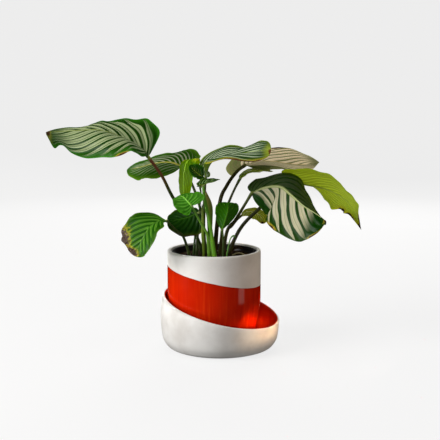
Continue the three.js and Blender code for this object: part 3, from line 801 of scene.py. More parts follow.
def stain_and_highlight_group():
    """A patch with a ragged border and a halo at one place on a blade: a dead patch with a yellow
    halo, and on the hanging leaf a painted highlight where light shines through.
    """
    places = ("Along", "Across", "Centre Along", "Centre Across", "Reach Along", "Reach Across", "Halo")
    nodes, given, result = new_group(
        "Leaf stain and highlight", "ShaderNodeTree",
        [("Color", TONE), *((name, NUMBER) for name in places), ("Dead", TONE), ("Yellow", TONE)],
        [("Color", TONE), ("Dry", NUMBER)])
    ragged = nodes.noise(nodes.vector(given["Along"] * 30.0, given["Across"] * 9.0), 1.0, 4.0, 0.7)
    far_along = (given["Along"] - given["Centre Along"]) / given["Reach Along"]
    far_across = (given["Across"] - given["Centre Across"]) / given["Reach Across"]
    far = nodes.maths("SQRT", far_along * far_along + far_across * far_across)
    far = far + (ragged - 0.5) * 1.5
    dead = nodes.fall(far, 0.85, 1.05)
    halo = nodes.fall(far, 1.0, given["Halo"] + 1.05)
    colour = nodes.blend(halo * 0.9, given["Color"], given["Yellow"])
    rough = nodes.blend(nodes.step(ragged, 0.4, 0.7), given["Dead"], paint("2E1C12"))
    nodes.feed(result["Color"], nodes.blend(dead, colour, rough))
    nodes.feed(result["Dry"], dead)
    return nodes.tree


def leaf_material(name, leaf, groups, settings):
    """The finish of one blade: its stripes, its dead patches and painted highlights, a soft gloss and
    light shining through.
    """
    material, nodes, shader, output = surface(name)
    marks = nodes.add("ShaderNodeGroup", node_tree=groups["marks"])
    for socket in marks.inputs:
        if socket_key(socket.name) in leaf:
            socket.default_value = leaf[socket_key(socket.name)]
    for socket, tone in zip((marks.inputs[name] for name in TONES), leaf["tones"].split()):
        socket.default_value = paint(tone)
    colour, height, along, across = (Wire(nodes, socket) for socket in marks.outputs)
    dry_and_highlight = 0.0
    for stain in leaf.get("stains", ()):
        patch = nodes.add("ShaderNodeGroup", node_tree=groups["stain"])
        for socket, value in zip(patch.inputs, (colour, along, across, *stain)):
            nodes.feed(socket, paint(value) if isinstance(value, str) else value)
        colour = Wire(nodes, patch.outputs["Color"])
        dry_and_highlight = nodes.maths("MAXIMUM", dry_and_highlight, Wire(nodes, patch.outputs["Dry"]))
    finish_surface(nodes, shader, colour, height * 0.16 + 0.3, height, 0.5, 0.35 * MM)
    shader.inputs["IOR"].default_value = 1.42
    shader.inputs["Specular IOR Level"].default_value = 0.3
    glow = nodes.blend(0.55, colour, paint(leaf.get("glow", "8FB020")))
    dull = nodes.blend(0.6, colour, paint("1E140C"))
    through = nodes.wire("ShaderNodeBsdfTranslucent", {"Color": nodes.blend(dry_and_highlight, glow, dull)})
    nodes.feed(output.inputs["Surface"], nodes.wire("ShaderNodeMixShader", {
        0: settings.translucency * leaf.get("through", 1.0), 1: Wire(nodes, shader.outputs[0]),
        2: through}))
    return material


# Stems


def stem_tree():
    """Sweeps a round section along a path whose points hold its thickness."""
    nodes, given, result = geometry_group("Stem", "Path", ("Sides", WHOLE, 12))
    curve = nodes.wire("GeometryNodeMeshToCurve", {0: given["Path"]})
    section = nodes.wire("GeometryNodeCurvePrimitiveCircle", {
        "Resolution": given["Sides"], "Radius": 1.0})
    stem = nodes.wire("GeometryNodeCurveToMesh", {
        "Curve": curve, "Profile Curve": section, "Scale": nodes.held("thickness"), "Fill Caps": True})
    return nodes.close(stem, given, result)


def stem_material(name, tones):
    """A stem's colour from the soil up, at the joint and below the blade, with lengthwise streaks."""
    low, high, joint, *rib = (paint(tone) for tone in tones.split())
    material, nodes, shader, _ = surface(name)
    climb = nodes.attribute("climb")
    place = nodes.place()
    streak = nodes.noise(nodes.stretched(place, (900.0, 900.0, 60.0)), 1.0, 3.0, 0.6)
    spots = nodes.noise(place, 700.0)
    colour = nodes.blend(nodes.step(climb, 0.5, 0.92), low, high)
    colour = nodes.blend(nodes.step(streak, 0.5, 0.8) * 0.4, colour, paint("8C9A50"))
    colour = nodes.blend(nodes.step(spots, 0.6, 0.75) * 0.35, colour, paint("2A1F14"))
    colour = nodes.blend(nodes.step(climb, 0.92, 0.95), colour, joint)
    colour = nodes.blend(nodes.step(climb, 0.96, 0.965), colour, rib[0] if rib else joint)
    finish_surface(nodes, shader, colour, streak * 0.2 + 0.26, streak, 0.4, 0.3 * MM)
    return material


# Reach and swelling of the joint below a blade and of a stem's foot, the midrib's radius from its
# tip to its base, and the stem's part of the climb up to the leaf's tip
JOINT_REACH, JOINT_SWELLING = 14, 0.7
FOOT_REACH, FOOT_SWELLING = 16, 0.35
MIDRIB_TIP, MIDRIB_BASE = 0.25, 1.5
STEM_SHARE = 0.96


def stem_of(name, leaf, material, sides):
    """The stem from the soil to the blade, its swollen joint, and the midrib below the blade."""
    share = np.linspace(0, 1, 40)
    up = np.linalg.norm(np.subtract(leaf["stem"][0], leaf["stem"][-1])) * share
    low, high = leaf["stem_radius"]
    joint = JOINT_SWELLING * np.exp(-((up[-1] - up) / JOINT_REACH) ** 2)
    foot = 1 + FOOT_SWELLING * np.exp(-(up / FOOT_REACH) ** 2)
    thickness = (low + (high - low) * share + joint) * foot
    along = np.linspace(0.02, 0.93, 36)
    blade = blade_points(leaf, along, np.array([-0.02, 0.0001, 0.02]))
    midrib = (MIDRIB_BASE - MIDRIB_TIP) * (1 - along) ** 0.8 + MIDRIB_TIP
    below = blade[:, 1] - grid_normals(blade)[:, 1] * (midrib * 0.75)[:, None]
    mesh = line_from(name, np.vstack([catmull(leaf["stem"], share), below]))
    point_attribute(mesh, "thickness", np.concatenate([thickness, midrib]) * MM)
    point_attribute(mesh, "climb", np.concatenate([
        share * STEM_SHARE, STEM_SHARE + (1 - STEM_SHARE) * along]))
    made = add_object(name, mesh)
    run_tree(made, stem_tree(), sides=sides, material=material)
    shade_smooth(made.data, SHARP_PLANT)
    return made


# Each leaf's measures in millimetres and degrees, which are those of its solid, and then its look.
# The midrib goes on from the stem's end. half, curl, rise and sweep are for the left and right half,
# and a crest is (half, place along, reach, height). tones are TONES in order, stem_tones go from the
# soil to the joint, and the other numbers are for the markings. A stain is (along, across, reach
# along, reach across, halo, dead colour, yellow colour); the hanging leaf's two yellow patches are
# painted highlights of light shining through.
LEAVES = {
    "leaf_far_left": dict(
        stem=[(-21, 9, 134), (-48, 9, 202), (-75, 5, 242), (-92, -1, 277), (-113, -8, 308)],
        stem_radius=(3.2, 2.2),
        midrib=[(-127, -10, 320), (-155, -16, 339), (-186, -24, 351), (-224, -30, 351),
                (-269, -34, 348)], heading=-171, half=(82, 81), curl=(-35, -4),
        outline=(0.54, 0.73), rise=((9, 2, -80), (80, 16, 12)), sweep=((-2, -23), (-6, -15)),
        crests=[(1, 0.34, 0.045, -4), (1, 0.27, 0.04, 1.5), (1, 0.43, 0.045, 2),
                (0, 0.978, 0.018, -13), (0, 0.93, 0.02, 4)],
        tones="C8D49E 083202 265808 244D10 99A85A 469B1A 688F47", stem_tones="34461A 9A5236 A8B84A",
        veins=8, lean_left=0.75, lean_right=0.35, shift=0.5, band_width=0.68, band_reach=0.95,
        first_right=-0.05, last_band=0.93, vein_line=0.9, rib_width=0.04, relief=1.3, glow="73A91C",
        stains=[(0.5, -1, 0.05, 0.05, 0.6, "7A5524", "C2A83A"),
                (0.995, 0, 0.02, 0.6, 0.6, "5A3A1C", "8A8A34")]),
    "leaf_left_behind": dict(
        stem=[(-23, 24, 134), (-28, 28, 200), (-39, 38, 243), (-54, 49, 276), (-63, 54, 288)],
        stem_radius=(2.6, 1.8),
        midrib=[(-83, 62, 294), (-109, 80, 291), (-135, 100, 283), (-159, 118, 277)], heading=146,
        half=(47, 52), curl=(-23, -20), outline=(0.42, 0.86), rise=((-7, -22, -19), (43, 29, 51)),
        sweep=((2, 9), (35, 16)),
        tones="FFFFDE 1B5702 43800A 698721 EDE362 7FB518 799733", stem_tones="44541A 56701E 8A9A3A",
        veins=9, lean_left=0.4, lean_right=0.85, shift=0.2, band_width=0.36, band_reach=0.8,
        left_bands=0.45, flutter=1.5),
    "leaf_hanging": dict(
        stem=[(-16, 16, 134), (-19, 18, 201), (-24, 22, 244), (-32, 28, 271), (-38, 30, 289)],
        stem_radius=(2.2, 1.6),
        midrib=[(-44, 20, 302), (-53, 8, 299), (-57, -2, 284), (-58, -8, 264), (-57, -11, 242)],
        heading=-100, half=(19, 18), curl=(-21, -23), outline=(0.64, 0.6),
        rise=((-16, 30, 16), (57, -34, -17)), sweep=((0, 20), (24, 8)),
        tones="97DA27 245C01 3D8402 529307 C7F53A 70B702 C7FF34", stem_tones="4E7A20 62962A 98AC48",
        veins=7, lean_left=0.5, lean_right=0.5, band_width=0.15, band_reach=0.7, through=1.3,
        glow="FFFF15",
        # Painted highlights: two yellow patches where light shines through the blade, a quarter of the
        # way along it.
        stains=[(0.25, -0.9, 0.03, 0.12, 5, "D8D83A", "DCE428"),
                (0.25, 0.9, 0.03, 0.12, 5, "D8D83A", "DCE428")]),
    "leaf_cupped": dict(
        stem=[(-6, -44, 134), (-15, -38, 199), (-22, -28, 233), (-26, -21, 257), (-27, -17, 276)],
        stem_radius=(3.4, 1.8), midrib=[(-33, -19, 281), (-41, -21, 288), (-48, -21, 295)],
        heading=180, half=(17, 18), curl=(-29, -21), outline=(0.46, 0.7),
        rise=((13, -9, -8), (60, 53, 37)), sweep=((-8, 8), (-3, 16)),
        tones="FFFF79 163F02 216902 2D8203 DFFF47 4B8804 5A9F1B", stem_tones="70B428 62A42A 4A7A2A",
        veins=7, lean_left=0.4, lean_right=0.4, band_width=0.15, band_reach=0.6, through=0.5),
    "leaf_top_middle": dict(
        stem=[(-25, -12, 134), (-26, -12, 192), (-25, -10, 232), (-24, -8, 259), (-23, -6, 276)],
        stem_radius=(3, 1.9),
        midrib=[(-19, -10, 293), (-8, -18, 306), (15, -34, 313), (46, -52, 319), (77, -66, 324)],
        heading=-31, half=(53, 52), curl=(-17, -25), outline=(0.53, 0.6),
        rise=((79, 20, 57), (-45, 5, -34)), sweep=((-13, 3), (-13, 21)),
        tones="CCD6B6 08301C 184A28 153D17 B2C857 A0B620 A4BC5A", stem_tones="44561E 4E6428 7E8E3A",
        veins=4, lean_left=1.15, lean_right=0.95, shift=0.3, band_width=0.48, band_reach=0.9,
        vein_line=0, glow="C7E724",
        stains=[(0.72, 1, 0.2, 0.08, 1.2, "7A4A34", "C8B83A"),
                (1, 0.6, 0.03, 0.6, 2.6, "8A5A2A", "A8B43A")]),
    "leaf_right_silver": dict(
        stem=[(-10, 23, 134), (-1, 25, 228), (11, 27, 259), (27, 31, 281), (41, 34, 292)],
        stem_radius=(3.4, 2.4),
        midrib=[(59, 42, 297), (86, 58, 296), (117, 76, 290), (143, 92, 288), (168, 104, 291)],
        heading=29, half=(71, 46), curl=(-20, -21), outline=(0.48, 0.93),
        rise=((-27, 28, 57), (-1, -4, 0)), sweep=((25, 6), (1, 4)),
        tones="FFF4DC 295109 497022 604937 CCB97D 7E9438 F8F0D8", stem_tones="463818 4E4A1E 7A7438",
        veins=7, lean_left=0.95, lean_right=0.85, shift=0.1, band_width=0.6, band_reach=1.5,
        first_left=-0.3, first_right=-0.3, vein_line=0.9, under_share=0.2, through=1.8,
        glow="F2E6C8", stains=[(0.62, -0.97, 0.12, 0.06, 0.6, "5A4638", "A09058")]),
    "leaf_right_inner": dict(
        stem=[(-2, 2, 134), (6, 4, 213), (13, 5, 232), (22, 6, 253), (31, 4, 271)],
        stem_radius=(2.4, 1.7), midrib=[(37, 8, 279), (50, 16, 284), (66, 26, 284), (84, 38, 281)],
        heading=22, half=(12, 24), curl=(-19, -18), outline=(0.51, 0.61),
        rise=((8, 19, 51), (30, 8, 16)), sweep=((-12, 13), (13, 13)),
        tones="FFFFFF 6C7E0A CFD952 BDC665 FFFFD2 FFFFC7 FFFFE8", stem_tones="44401A 505C24 66903A",
        veins=6, lean_left=0.5, lean_right=0.5, band_width=0.4, band_reach=0.8),
    "leaf_front_striped": dict(
        stem=[(2, -14, 134), (11, -16, 190), (24, -20, 209), (38, -25, 233), (50, -30, 254)],
        stem_radius=(3, 2),
        midrib=[(71, -36, 263), (93, -46, 265), (110, -62, 253), (126, -80, 240),
                (142, -96, 231), (157, -110, 221)], heading=-37, half=(57, 59), curl=(-21, -32),
        outline=(0.66, 0.6), rise=((56, 8, -30), (-80, -60, -28)), sweep=((40, 1), (24, 31)),
        tones="E9DFBB 043601 104803 33600F B8C17D 2E5104 365114", stem_tones="3A3A14 4A5620 6E7A34",
        veins=8, lean_left=0.45, lean_right=0.35, shift=0.1, band_width=0.7, band_reach=0.98,
        first_right=-0.02, last_band=0.8, left_bands=0.1, vein_line=0.3, rib_width=0.035,
        relief=1.2,
        stains=[(0.5, 1, 0.04, 0.06, 0.8, "6E4A28", "C8B030"),
                (0.92, 1, 0.05, 0.08, 0.8, "5E3E24", "C0AC30"),
                (1, 0, 0.02, 0.5, 0.8, "6E4A28", "A8A030")]),
    "leaf_right_light": dict(
        stem=[(6, 2, 134), (32, 5, 191), (64, 9, 225), (90, 19, 249), (113, 24, 267)],
        stem_radius=(3.2, 2.3),
        midrib=[(143, 22, 261), (164, 18, 257), (185, 14, 249), (203, 10, 237), (214, 8, 222),
                (227, 6, 190)], heading=-9, half=(29, 38), curl=(4, -22), outline=(0.42, 1.04),
        rise=((45, -72, -85), (50, 53, 36)), sweep=((-13, 16), (50, 19)),
        crests=[(0, 0.5, 0.05, -4), (0, 0.63, 0.05, 3), (0, 0.78, 0.04, -4), (1, 0.45, 0.05, 4),
                (1, 0.62, 0.05, -4), (1, 0.8, 0.04, 4)],
        tones="CAE06D 2A6802 438707 7EB915 BED24E 95BA13 DCEA6D", stem_tones="3E4016 4C561E A4AA58",
        veins=9, lean_left=0.85, lean_right=0.8, band_width=0.35, band_reach=0.9, vein_line=0.5,
        rib_width=0.02, through=1.5, glow="FEFF44",
        stains=[(0.99, 0, 0.04, 1.6, 0.9, "5E3A1C", "B0A22E"),
                (0.7, -1, 0.09, 0.22, 1.3, "4E3018", "B4AE38"),
                (0.86, -1, 0.06, 0.3, 0.7, "4E3018", "B8AE34"),
                (0.93, 1, 0.05, 0.3, 0.6, "5E3E22", "B8AE34")]),
    "leaf_low_left": dict(
        stem=[(-42, -38, 134), (-56, -44, 184), (-68, -48, 197), (-77, -50, 207), (-83, -52, 213)],
        stem_radius=(2, 1.5),
        midrib=[(-96, -56, 212), (-109, -64, 203), (-118, -70, 189), (-125, -74, 174),
                (-131, -76, 162)], heading=-153, half=(37, 41), curl=(-22, -19),
        outline=(0.45, 0.6), rise=((10, 8, -10), (16, 46, 45)), sweep=((-4, 5), (-9, 1)),
        crests=[(1, 0.8, 0.05, 3), (1, 0.68, 0.04, -3), (1, 0.9, 0.04, -3)],
        tones="6EAC33 0D4802 296A0B 0D3D03 578B28 5F8A16 559529", stem_tones="46561E 52682A 9AA45A",
        veins=8, lean_left=0.3, lean_right=0.45, band_width=0.5, band_reach=0.85, vein_line=0.7,
        rib_width=0.02, flutter=1.6, glow="9AD022",
        stains=[(0.84, 1, 0.3, 0.5, 0.2, "705A4C", "D8CC34"),
                (1, 0.35, 0.15, 0.95, 0.2, "6E5648", "D0C030")]),
    "leaf_round_dark": dict(
        stem=[(-38, -8, 134), (-36, -11, 179), (-34, -13, 200), (-33, -17, 222)],
        stem_radius=(2.4, 1.8), midrib=[(-47, -19, 215), (-63, -22, 211), (-82, -25, 209)],
        heading=-171, half=(33, 24), curl=(-26, -20), outline=(0.42, 0.66),
        rise=((-64, -42, -22), (30, 45, 50)), sweep=((3, 30), (10, 24)),
        tones="264E0A 0C2E03 1E4E07 123904 33620C 657C13 2C6208", stem_tones="42521E 4E6226 A8B070",
        veins=7, lean_left=0.4, lean_right=0.4, band_width=0.3, band_reach=0.75, through=0.7,
        glow="60AC12", stains=[(0.55, -0.99, 0.3, 0.05, 0.6, "5A4A2A", "6E6A30")]),
    "leaf_bright_young": dict(
        stem=[(-16, -36, 134), (-19, -41, 183), (-23, -44, 197), (-30, -48, 209),
              (-38, -51, 225), (-44, -52, 236)], stem_radius=(2.3, 1.4),
        midrib=[(-49, -50, 241), (-55, -46, 247), (-63, -40, 251)], heading=-90, half=(26, 26),
        curl=(-20, -23), outline=(0.49, 0.6), rise=((-3, 8, 20), (-27, -10, 19)),
        sweep=((30, 2), (41, 23)),
        tones="A0E85C 0E5802 2F7B0B 31810C 91DD41 67BB0D 63AE2E", stem_tones="7CB438 6AA436 8AB058",
        veins=6, lean_left=0.4, lean_right=0.4, band_width=0.35, band_reach=0.8, glow="82F024"),
    "leaf_slender_young": dict(
        stem=[(-43, 1, 134), (-40, 1, 181), (-35, 2, 206), (-32, 0, 231), (-30, -22, 251),
              (-31, -41, 264)], stem_radius=(1.6, 1.1),
        midrib=[(-23, -44, 271), (-12, -48, 276), (0, -52, 277)], heading=-20, half=(13, 12),
        curl=(-8, -17), outline=(0.5, 0.7), rise=((80, 30, -10), (46, -6, -15)),
        sweep=((35, -20), (32, -5)),
        tones="CCFFA5 0D3001 335509 4E6717 FFFFAC 829F26 508D2C", stem_tones="3A5A1E 4A6E28 6E8C3A",
        veins=5, lean_left=0.5, lean_right=0.5, band_width=0.2),
    "leaf_centre_young": dict(
        stem=[(5, -40, 134), (5, -39, 171), (5, -37, 183), (3, -36, 196)], stem_radius=(1.6, 1.2),
        midrib=[(8, -40, 211), (12, -44, 227), (13, -48, 240)], heading=-90, half=(20, 22),
        curl=(-16, -20), outline=(0.5, 0.6), rise=((65, 40, 8), (71, 41, 8)),
        sweep=((-7, 24), (10, 23)),
        tones="477E08 1B6C02 338403 3E8D07 4D8709 4DA704 3A7905", stem_tones="3A4E1C 466024 7E9248",
        veins=6, lean_left=0.35, lean_right=0.35, band_width=0.3, band_reach=0.8),
    "leaf_small_olive": dict(
        stem=[(-2, 14, 134), (10, 17, 183), (19, 19, 193), (28, 21, 204), (35, 22, 211)],
        stem_radius=(1.6, 1.2), midrib=[(45, 24, 217), (58, 23, 215), (66, 21, 209), (69, 19, 198)],
        heading=-5, half=(16, 13), curl=(-19, -22), outline=(0.52, 0.6),
        rise=((26, 34, 67), (-18, -36, -45)), sweep=((-2, 22), (9, 8)),
        tones="FFFFA2 5F700B B7C33B CFD754 FFFFC4 FFFF81 7F8F6A", stem_tones="3E3A14 4A501C 7A7438",
        veins=6, lean_left=0.5, lean_right=0.5, band_width=0.3, band_reach=0.8, glow="FFFF59",
        stains=[(0.98, 0, 0.05, 0.8, 0.7, "5A3A1C", "B8A030")]),
}

VEIN_KEYS = [socket_key(name) for name, *_ in VEIN_SOCKETS]
LARGE_LEAF = 55
LARGE_GRID, SMALL_GRID = (132, 80), (84, 52)


class CALATHEA_OT_leaves(bpy.types.Operator):
    """Build the opened leaves with their stems"""
    bl_idname = "calathea.leaves"
    bl_label = "Leaves"

    def execute(self, context):
        settings = context.scene.calathea_leaves
        groups = {"marks": marking_group(), "stain": stain_and_highlight_group()}
        relief = relief_tree()
        for number, (name, leaf) in enumerate(LEAVES.items()):
            rows, columns = LARGE_GRID if sum(leaf["half"]) > LARGE_LEAF else SMALL_GRID
            blade = add_object(name + "_blade", blade_mesh(
                name, leaf, rows, columns, settings.thickness))
            veins = {key: leaf[key] for key in VEIN_KEYS if key in leaf}
            run_tree(blade, relief, height=settings.vein_height * leaf.get("relief", 1.0),
                     flutter=settings.flutter * leaf.get("flutter", 1.0), seed=number,
                     material=leaf_material(name + " blade", leaf, groups, settings), **veins)
            shade_smooth(blade.data, SHARP_PLANT)
            rib_tone = leaf["tones"].split()[TONES.index("Rib")]
            skin = stem_material(name + " stem", leaf["stem_tones"] + " " + rib_tone)
            stem = stem_of(name + "_stem", leaf, skin, settings.stem_sides)
            finish_piece(join([blade, stem], name + "_grown"), name, name)
        return {"FINISHED"}


# Rolled leaves and bits on the soil: a path, the radius along it, its flatness, how far the rolled
# edge steps in, and its tones from the soil up

SPEARS = {
    "leaf_rolled": dict(
        path=[(-13, -21, 134), (-15, -19, 175), (-15, -18, 205), (-17, -17, 232), (-23, -15, 256)],
        radius=[1.6, 1.7, 3.4, 5.2, 0.7], squash=0.55, wrap=0.16, tones="6E8E2A A89E48 7A6636"),
    "leaf_rolled_small": dict(
        path=[(-26, -34, 134), (-26, -37, 165), (-27, -38, 190), (-27, -37, 215), (-28, -35, 236)],
        radius=[1.8, 2, 2.8, 2.2, 0.6], squash=0.6, wrap=0.14, tones="7E9A2C 8FA63A 4E7A22"),
    "shoot_thin": dict(
        path=[(10, -48, 134), (10, -47, 150), (12, -44, 166), (16, -40, 182), (21, -38, 187),
              (24, -38, 184)],
        radius=[1.2, 1.2, 1, 1, 1.4, 0.6], squash=1, wrap=0.08, tones="5E9A34 4E8A2A 3E7A22"),
    "dry_sheath": dict(
        path=[(18, 30, 152.3), (24, 31, 156.3), (31, 31, 157.3), (37, 30, 155.3)],
        radius=[2.2, 3.2, 2.6, 1], squash=0.5, wrap=0.25, tones="3A281A 4A3422 5C4630"),
    "root_pale": dict(
        path=[(19, -18, 152.3), (27, -14, 155), (36, -14, 154.4), (41, -22, 150.6)],
        radius=[1.2, 1.2, 1.2, 0.9], squash=1, wrap=0.05, tones="9C8F63 8A7A50 7A6A44"),
}
ROLL_TWIST = 1.6
SHARP_ROLL = 40


def spear_mesh(name, spear, steps=72, sides=40):
    """A rolled leaf: a tube whose skin steps in where the rolled edge lies on the turn below it."""
    share = np.linspace(0, 1, steps + 1)
    centres = catmull(spear["path"], share)
    ahead = ahead_of(spear["path"], share)
    radii = catmull(np.array(spear["radius"], float)[:, None], share)[:, 0].clip(0.5)
    across = np.array([0.0, -1.0, 0.0])
    rings = []
    angle = np.arange(sides) / sides * math.tau
    for centre, way, radius, place in zip(centres, ahead, radii, share):
        across = across - across.dot(way) * way
        across /= np.linalg.norm(across)
        seam = (angle + place * ROLL_TWIST) % math.tau / math.tau
        skin = radius * (1 - spear["wrap"] * seam)
        rings.append(centre + (skin * spear["squash"] * np.cos(angle))[:, None] * across
                     + (skin * np.sin(angle))[:, None] * np.cross(way, across))
    points = np.concatenate(rings + [centres[:1], centres[-1:]])
    faces = []
    for i in range(steps):
        for k in range(sides):
            a, b = i * sides + k, i * sides + (k + 1) % sides
            faces.append((a, b, b + sides, a + sides))
    last, foot = steps * sides, (steps + 1) * sides
    for k in range(sides):
        faces.append((foot, (k + 1) % sides, k))
        faces.append((foot + 1, last + k, last + (k + 1) % sides))
    mesh = mesh_from(name, points * MM, faces)
    point_attribute(mesh, "climb", np.concatenate([np.repeat(share * 0.98, sides), [0, 0.98]]))
    return mesh


class CALATHEA_OT_rolled(bpy.types.Operator):
    """Build the rolled leaves, the thin shoot, the dry sheath and the bare root"""
    bl_idname = "calathea.rolled"
    bl_label = "Rolled leaves and bits"

    def execute(self, context):
        for name, spear in SPEARS.items():
            made = add_object(name + "_grown", spear_mesh(name, spear))
            made.data.materials.append(stem_material(name + " skin", spear["tones"]))
            shade_smooth(made.data, SHARP_ROLL)
            finish_piece(made, name, name)
        return {"FINISHED"}


# Soil


def scatter_tree():
    """Strews small lumps over the upper side of the soil, all over it or in one round spot."""
    nodes, given, result = geometry_group(
        "Scatter", "Ground", ("Density", NUMBER, 1000.0), ("Size", NUMBER, 1 * MM),
        ("Smallest", NUMBER, 0.3), ("Detail", WHOLE, 1), ("Above", NUMBER, 0.148),
        ("Spot X", NUMBER, 0.0), ("Spot Y", NUMBER, 0.0), ("Spot Reach", NUMBER, 1.0),
        ("Seed", WHOLE, 1))
    place = nodes.wire("GeometryNodeInputPosition")
    x, y, height = nodes.parts(place)
    from_x, from_y = x - given["Spot X"], y - given["Spot Y"]
    far = nodes.maths("SQRT", from_x * from_x + from_y * from_y)
    chosen = (nodes.maths("LESS_THAN", far, given["Spot Reach"])
              * nodes.maths("GREATER_THAN", height, given["Above"]))
    spots = nodes.wire("GeometryNodeDistributePointsOnFaces", {
        "Mesh": given["Ground"], "Selection": chosen, "Density": given["Density"],
        "Seed": given["Seed"]})
    lump = nodes.wire("GeometryNodeMeshIcoSphere", {"Radius": 1.0, "Subdivisions": given["Detail"]})
    uneven = nodes.scaled(place, nodes.noise(place, 1.7) * 0.9 + 0.5)
    shaped = nodes.wire("GeometryNodeSetPosition", {"Geometry": lump, "Position": uneven})
    turned = nodes.wire("FunctionNodeRandomValue", {1: (math.tau,) * 3, "Seed": given["Seed"]},
                        data_type="FLOAT_VECTOR")
    share = nodes.maths("POWER", nodes.wire(
        "FunctionNodeRandomValue", {"Seed": 3}, output=1, data_type="FLOAT"), 3.0)
    placed = nodes.wire("GeometryNodeInstanceOnPoints", {
        "Points": spots, "Instance": shaped, "Rotation": turned,
        "Scale": given["Size"] * nodes.between(share, given["Smallest"], 1.0)})
    return nodes.close(placed, given, result)


def soil_material(name, dark, light):
    """A dull grainy surface with brown fibres."""
    material, nodes, shader, _ = surface(name)
    place = nodes.place()
    grain = nodes.noise(place, 420.0, 5.0, 0.65)
    fibre = nodes.noise(place, 1500.0, 3.0, 0.6)
    colour = nodes.blend(nodes.step(grain, 0.35, 0.75), dark, light)
    colour = nodes.blend(nodes.step(fibre, 0.55, 0.8) * 0.5, colour, paint("6B4A30"))
    finish_surface(nodes, shader, colour, 0.95, grain + fibre, 0.8, 0.8 * MM)
    return material


SOIL_BASE, SOIL_BASE_RADIUS = 15.5, 51.8
SOIL_RADIUS = 62.0
SOIL_EDGE = 6


def soil_bed(settings, centre):
    """The bed of soil as a closed lumpy body that fills the nursery pot."""
    top, mound = settings.surface_height / MM, settings.mound / MM
    profile = [(0, SOIL_BASE), (SOIL_BASE_RADIUS, SOIL_BASE)]
    profile += [(SOIL_RADIUS * share, top + mound * (1 - share ** 2))
                for share in np.linspace(0.985, 0.02, 34)]
    made = turn("soil_bed", profile + [(0, top + mound)],
                soil_material("Potting soil", settings.earth, paint("4A3322")), centre=centre)
    points = points_of(made.data)
    x, y, z = points.T
    lumps = (0.8 * np.sin(x * 0.31 + 1.3 * np.sin(y * 0.17)) * np.cos(y * 0.27 + 0.9 * np.sin(x * 0.23))
             + 0.35 * np.sin(x * 1.1 + 2 * np.sin(y * 0.8)) * np.cos(y * 1.3))
    inward = np.clip((SOIL_RADIUS - 1 - np.hypot(x - centre / MM, y)) / SOIL_EDGE, 0, 1)
    points[:, 2] = z + np.where(z > top - 1, lumps * inward, 0)
    move_points(made.data, points)
    return made


class CALATHEA_OT_soil(bpy.types.Operator):
    """Build the potting soil with its crumbs, white grains and a tuft of moss"""
    bl_idname = "calathea.soil"
    bl_label = "Soil"

    def execute(self, context):
        settings = context.scene.calathea_soil
        bed = soil_bed(settings, context.scene.calathea_pottery.pot_centre)
        tree = scatter_tree()
        lumps = (
            ("soil_crumbs", "Soil crumbs", "20140D", "5A3E28", dict(
                density=settings.crumb_density, size=settings.crumb_size, seed=settings.seed)),
            ("soil_perlite", "Perlite", "C9C6BE", "F0EEE8", dict(
                density=settings.perlite_density, size=1.3 * MM, smallest=0.5, detail=2,
                seed=settings.seed + 4)),
            ("soil_moss", "Moss", "1E3A0C", "4E7A1C", dict(
                density=settings.moss_density, size=1.1 * MM, smallest=0.4, seed=settings.seed + 9,
                spot_x=30 * MM, spot_y=-34 * MM, spot_reach=15 * MM)),
        )
        strewn = []
        for name, label, dark, light, values in lumps:
            strewn.append(add_object(name, bed.data.copy()))
            run_tree(strewn[-1], tree, above=settings.surface_height - 0.5 * MM,
                     material=soil_material(label, paint(dark), paint(light)), **values)
        finish_turned(bed, "potting_soil", "soil")
        for made in strewn:
            finish_piece(made, "potting_soil")
        return {"FINISHED"}


# Stage: a pale floor that curves up into a wall, soft light and the camera

FLOOR_REACH, WALL_BEND, WALL_TOP = 2200, 900, 2600
WHITE = (1, 1, 1)
MIDDLE = (0, 0, 0.18)
# Name, place, where it points, width, height, share of the key light's power and seen in the gloss
SOFT_LIGHTS = (
    ("key", (-1.95, -1.1, 1.25), MIDDLE, 1.5, 1.3, 1.0, True),
    ("top", (-0.3, -0.2, 2.2), MIDDLE, 0.8, 0.8, 0.12, False),
    ("back", (0.3, 1.9, 1.2), (0, 0, 0.3), 1.8, 1.0, 0.5, False),
)
# Name, place, where it points, width, height, power, seen in the gloss, colour and spread in degrees
NARROW_LIGHTS = (
    ("glint", (0.26, -0.14, 0.065), (0, 0, 0.08), 0.08, 0.08, 0.014, True, (1, 0.85, 0.75), 180),
    ("low", (-1.35, -0.4, 0.14), (-0.05, 0, 0.115), 0.2, 0.1, 0.047, True, WHITE, 9),
    ("warm", (0.3, -0.9, 0.7), (0.064, 0.052, 0.036), 0.01, 0.01, 0.017, False, (1, 0.48, 0.34), 2),
    ("side", (0.6, -0.9, 0.1), (0.085, -0.02, 0.036), 0.16, 0.02, 0.011, False, (1, 0.74, 0.5), 3.5),
    ("bounce", (0.9, -0.8, 0.16), (0.052, -0.03, 0.05), 0.04, 0.02, 0.007, False, (1, 0.6, 0.3), 2.6),
    ("fill", (0.9, -0.9, 0.3), (0.06, 0, 0.12), 0.1, 0.1, 0.012, False, (1, 0.62, 0.32), 12),
)


def add_light(name, place, toward, width, height, power, gloss, colour=WHITE, spread=180):
    """A flat light that shines from its place towards a point and stays out of the picture."""
    data = bpy.data.lights.new(name, "AREA")
    data.shape = "RECTANGLE"
    data.size, data.size_y = width, height
    data.energy, data.color, data.spread = power, colour, math.radians(spread)
    made = add_object(name, data)
    made.location = place
    made.visible_glossy = gloss
    made.visible_camera = False
    x, y, z = (b - a for a, b in zip(place, toward))
    made.rotation_euler = Euler((math.atan2(math.hypot(x, y), -z), 0, math.atan2(y, x) - math.pi / 2))


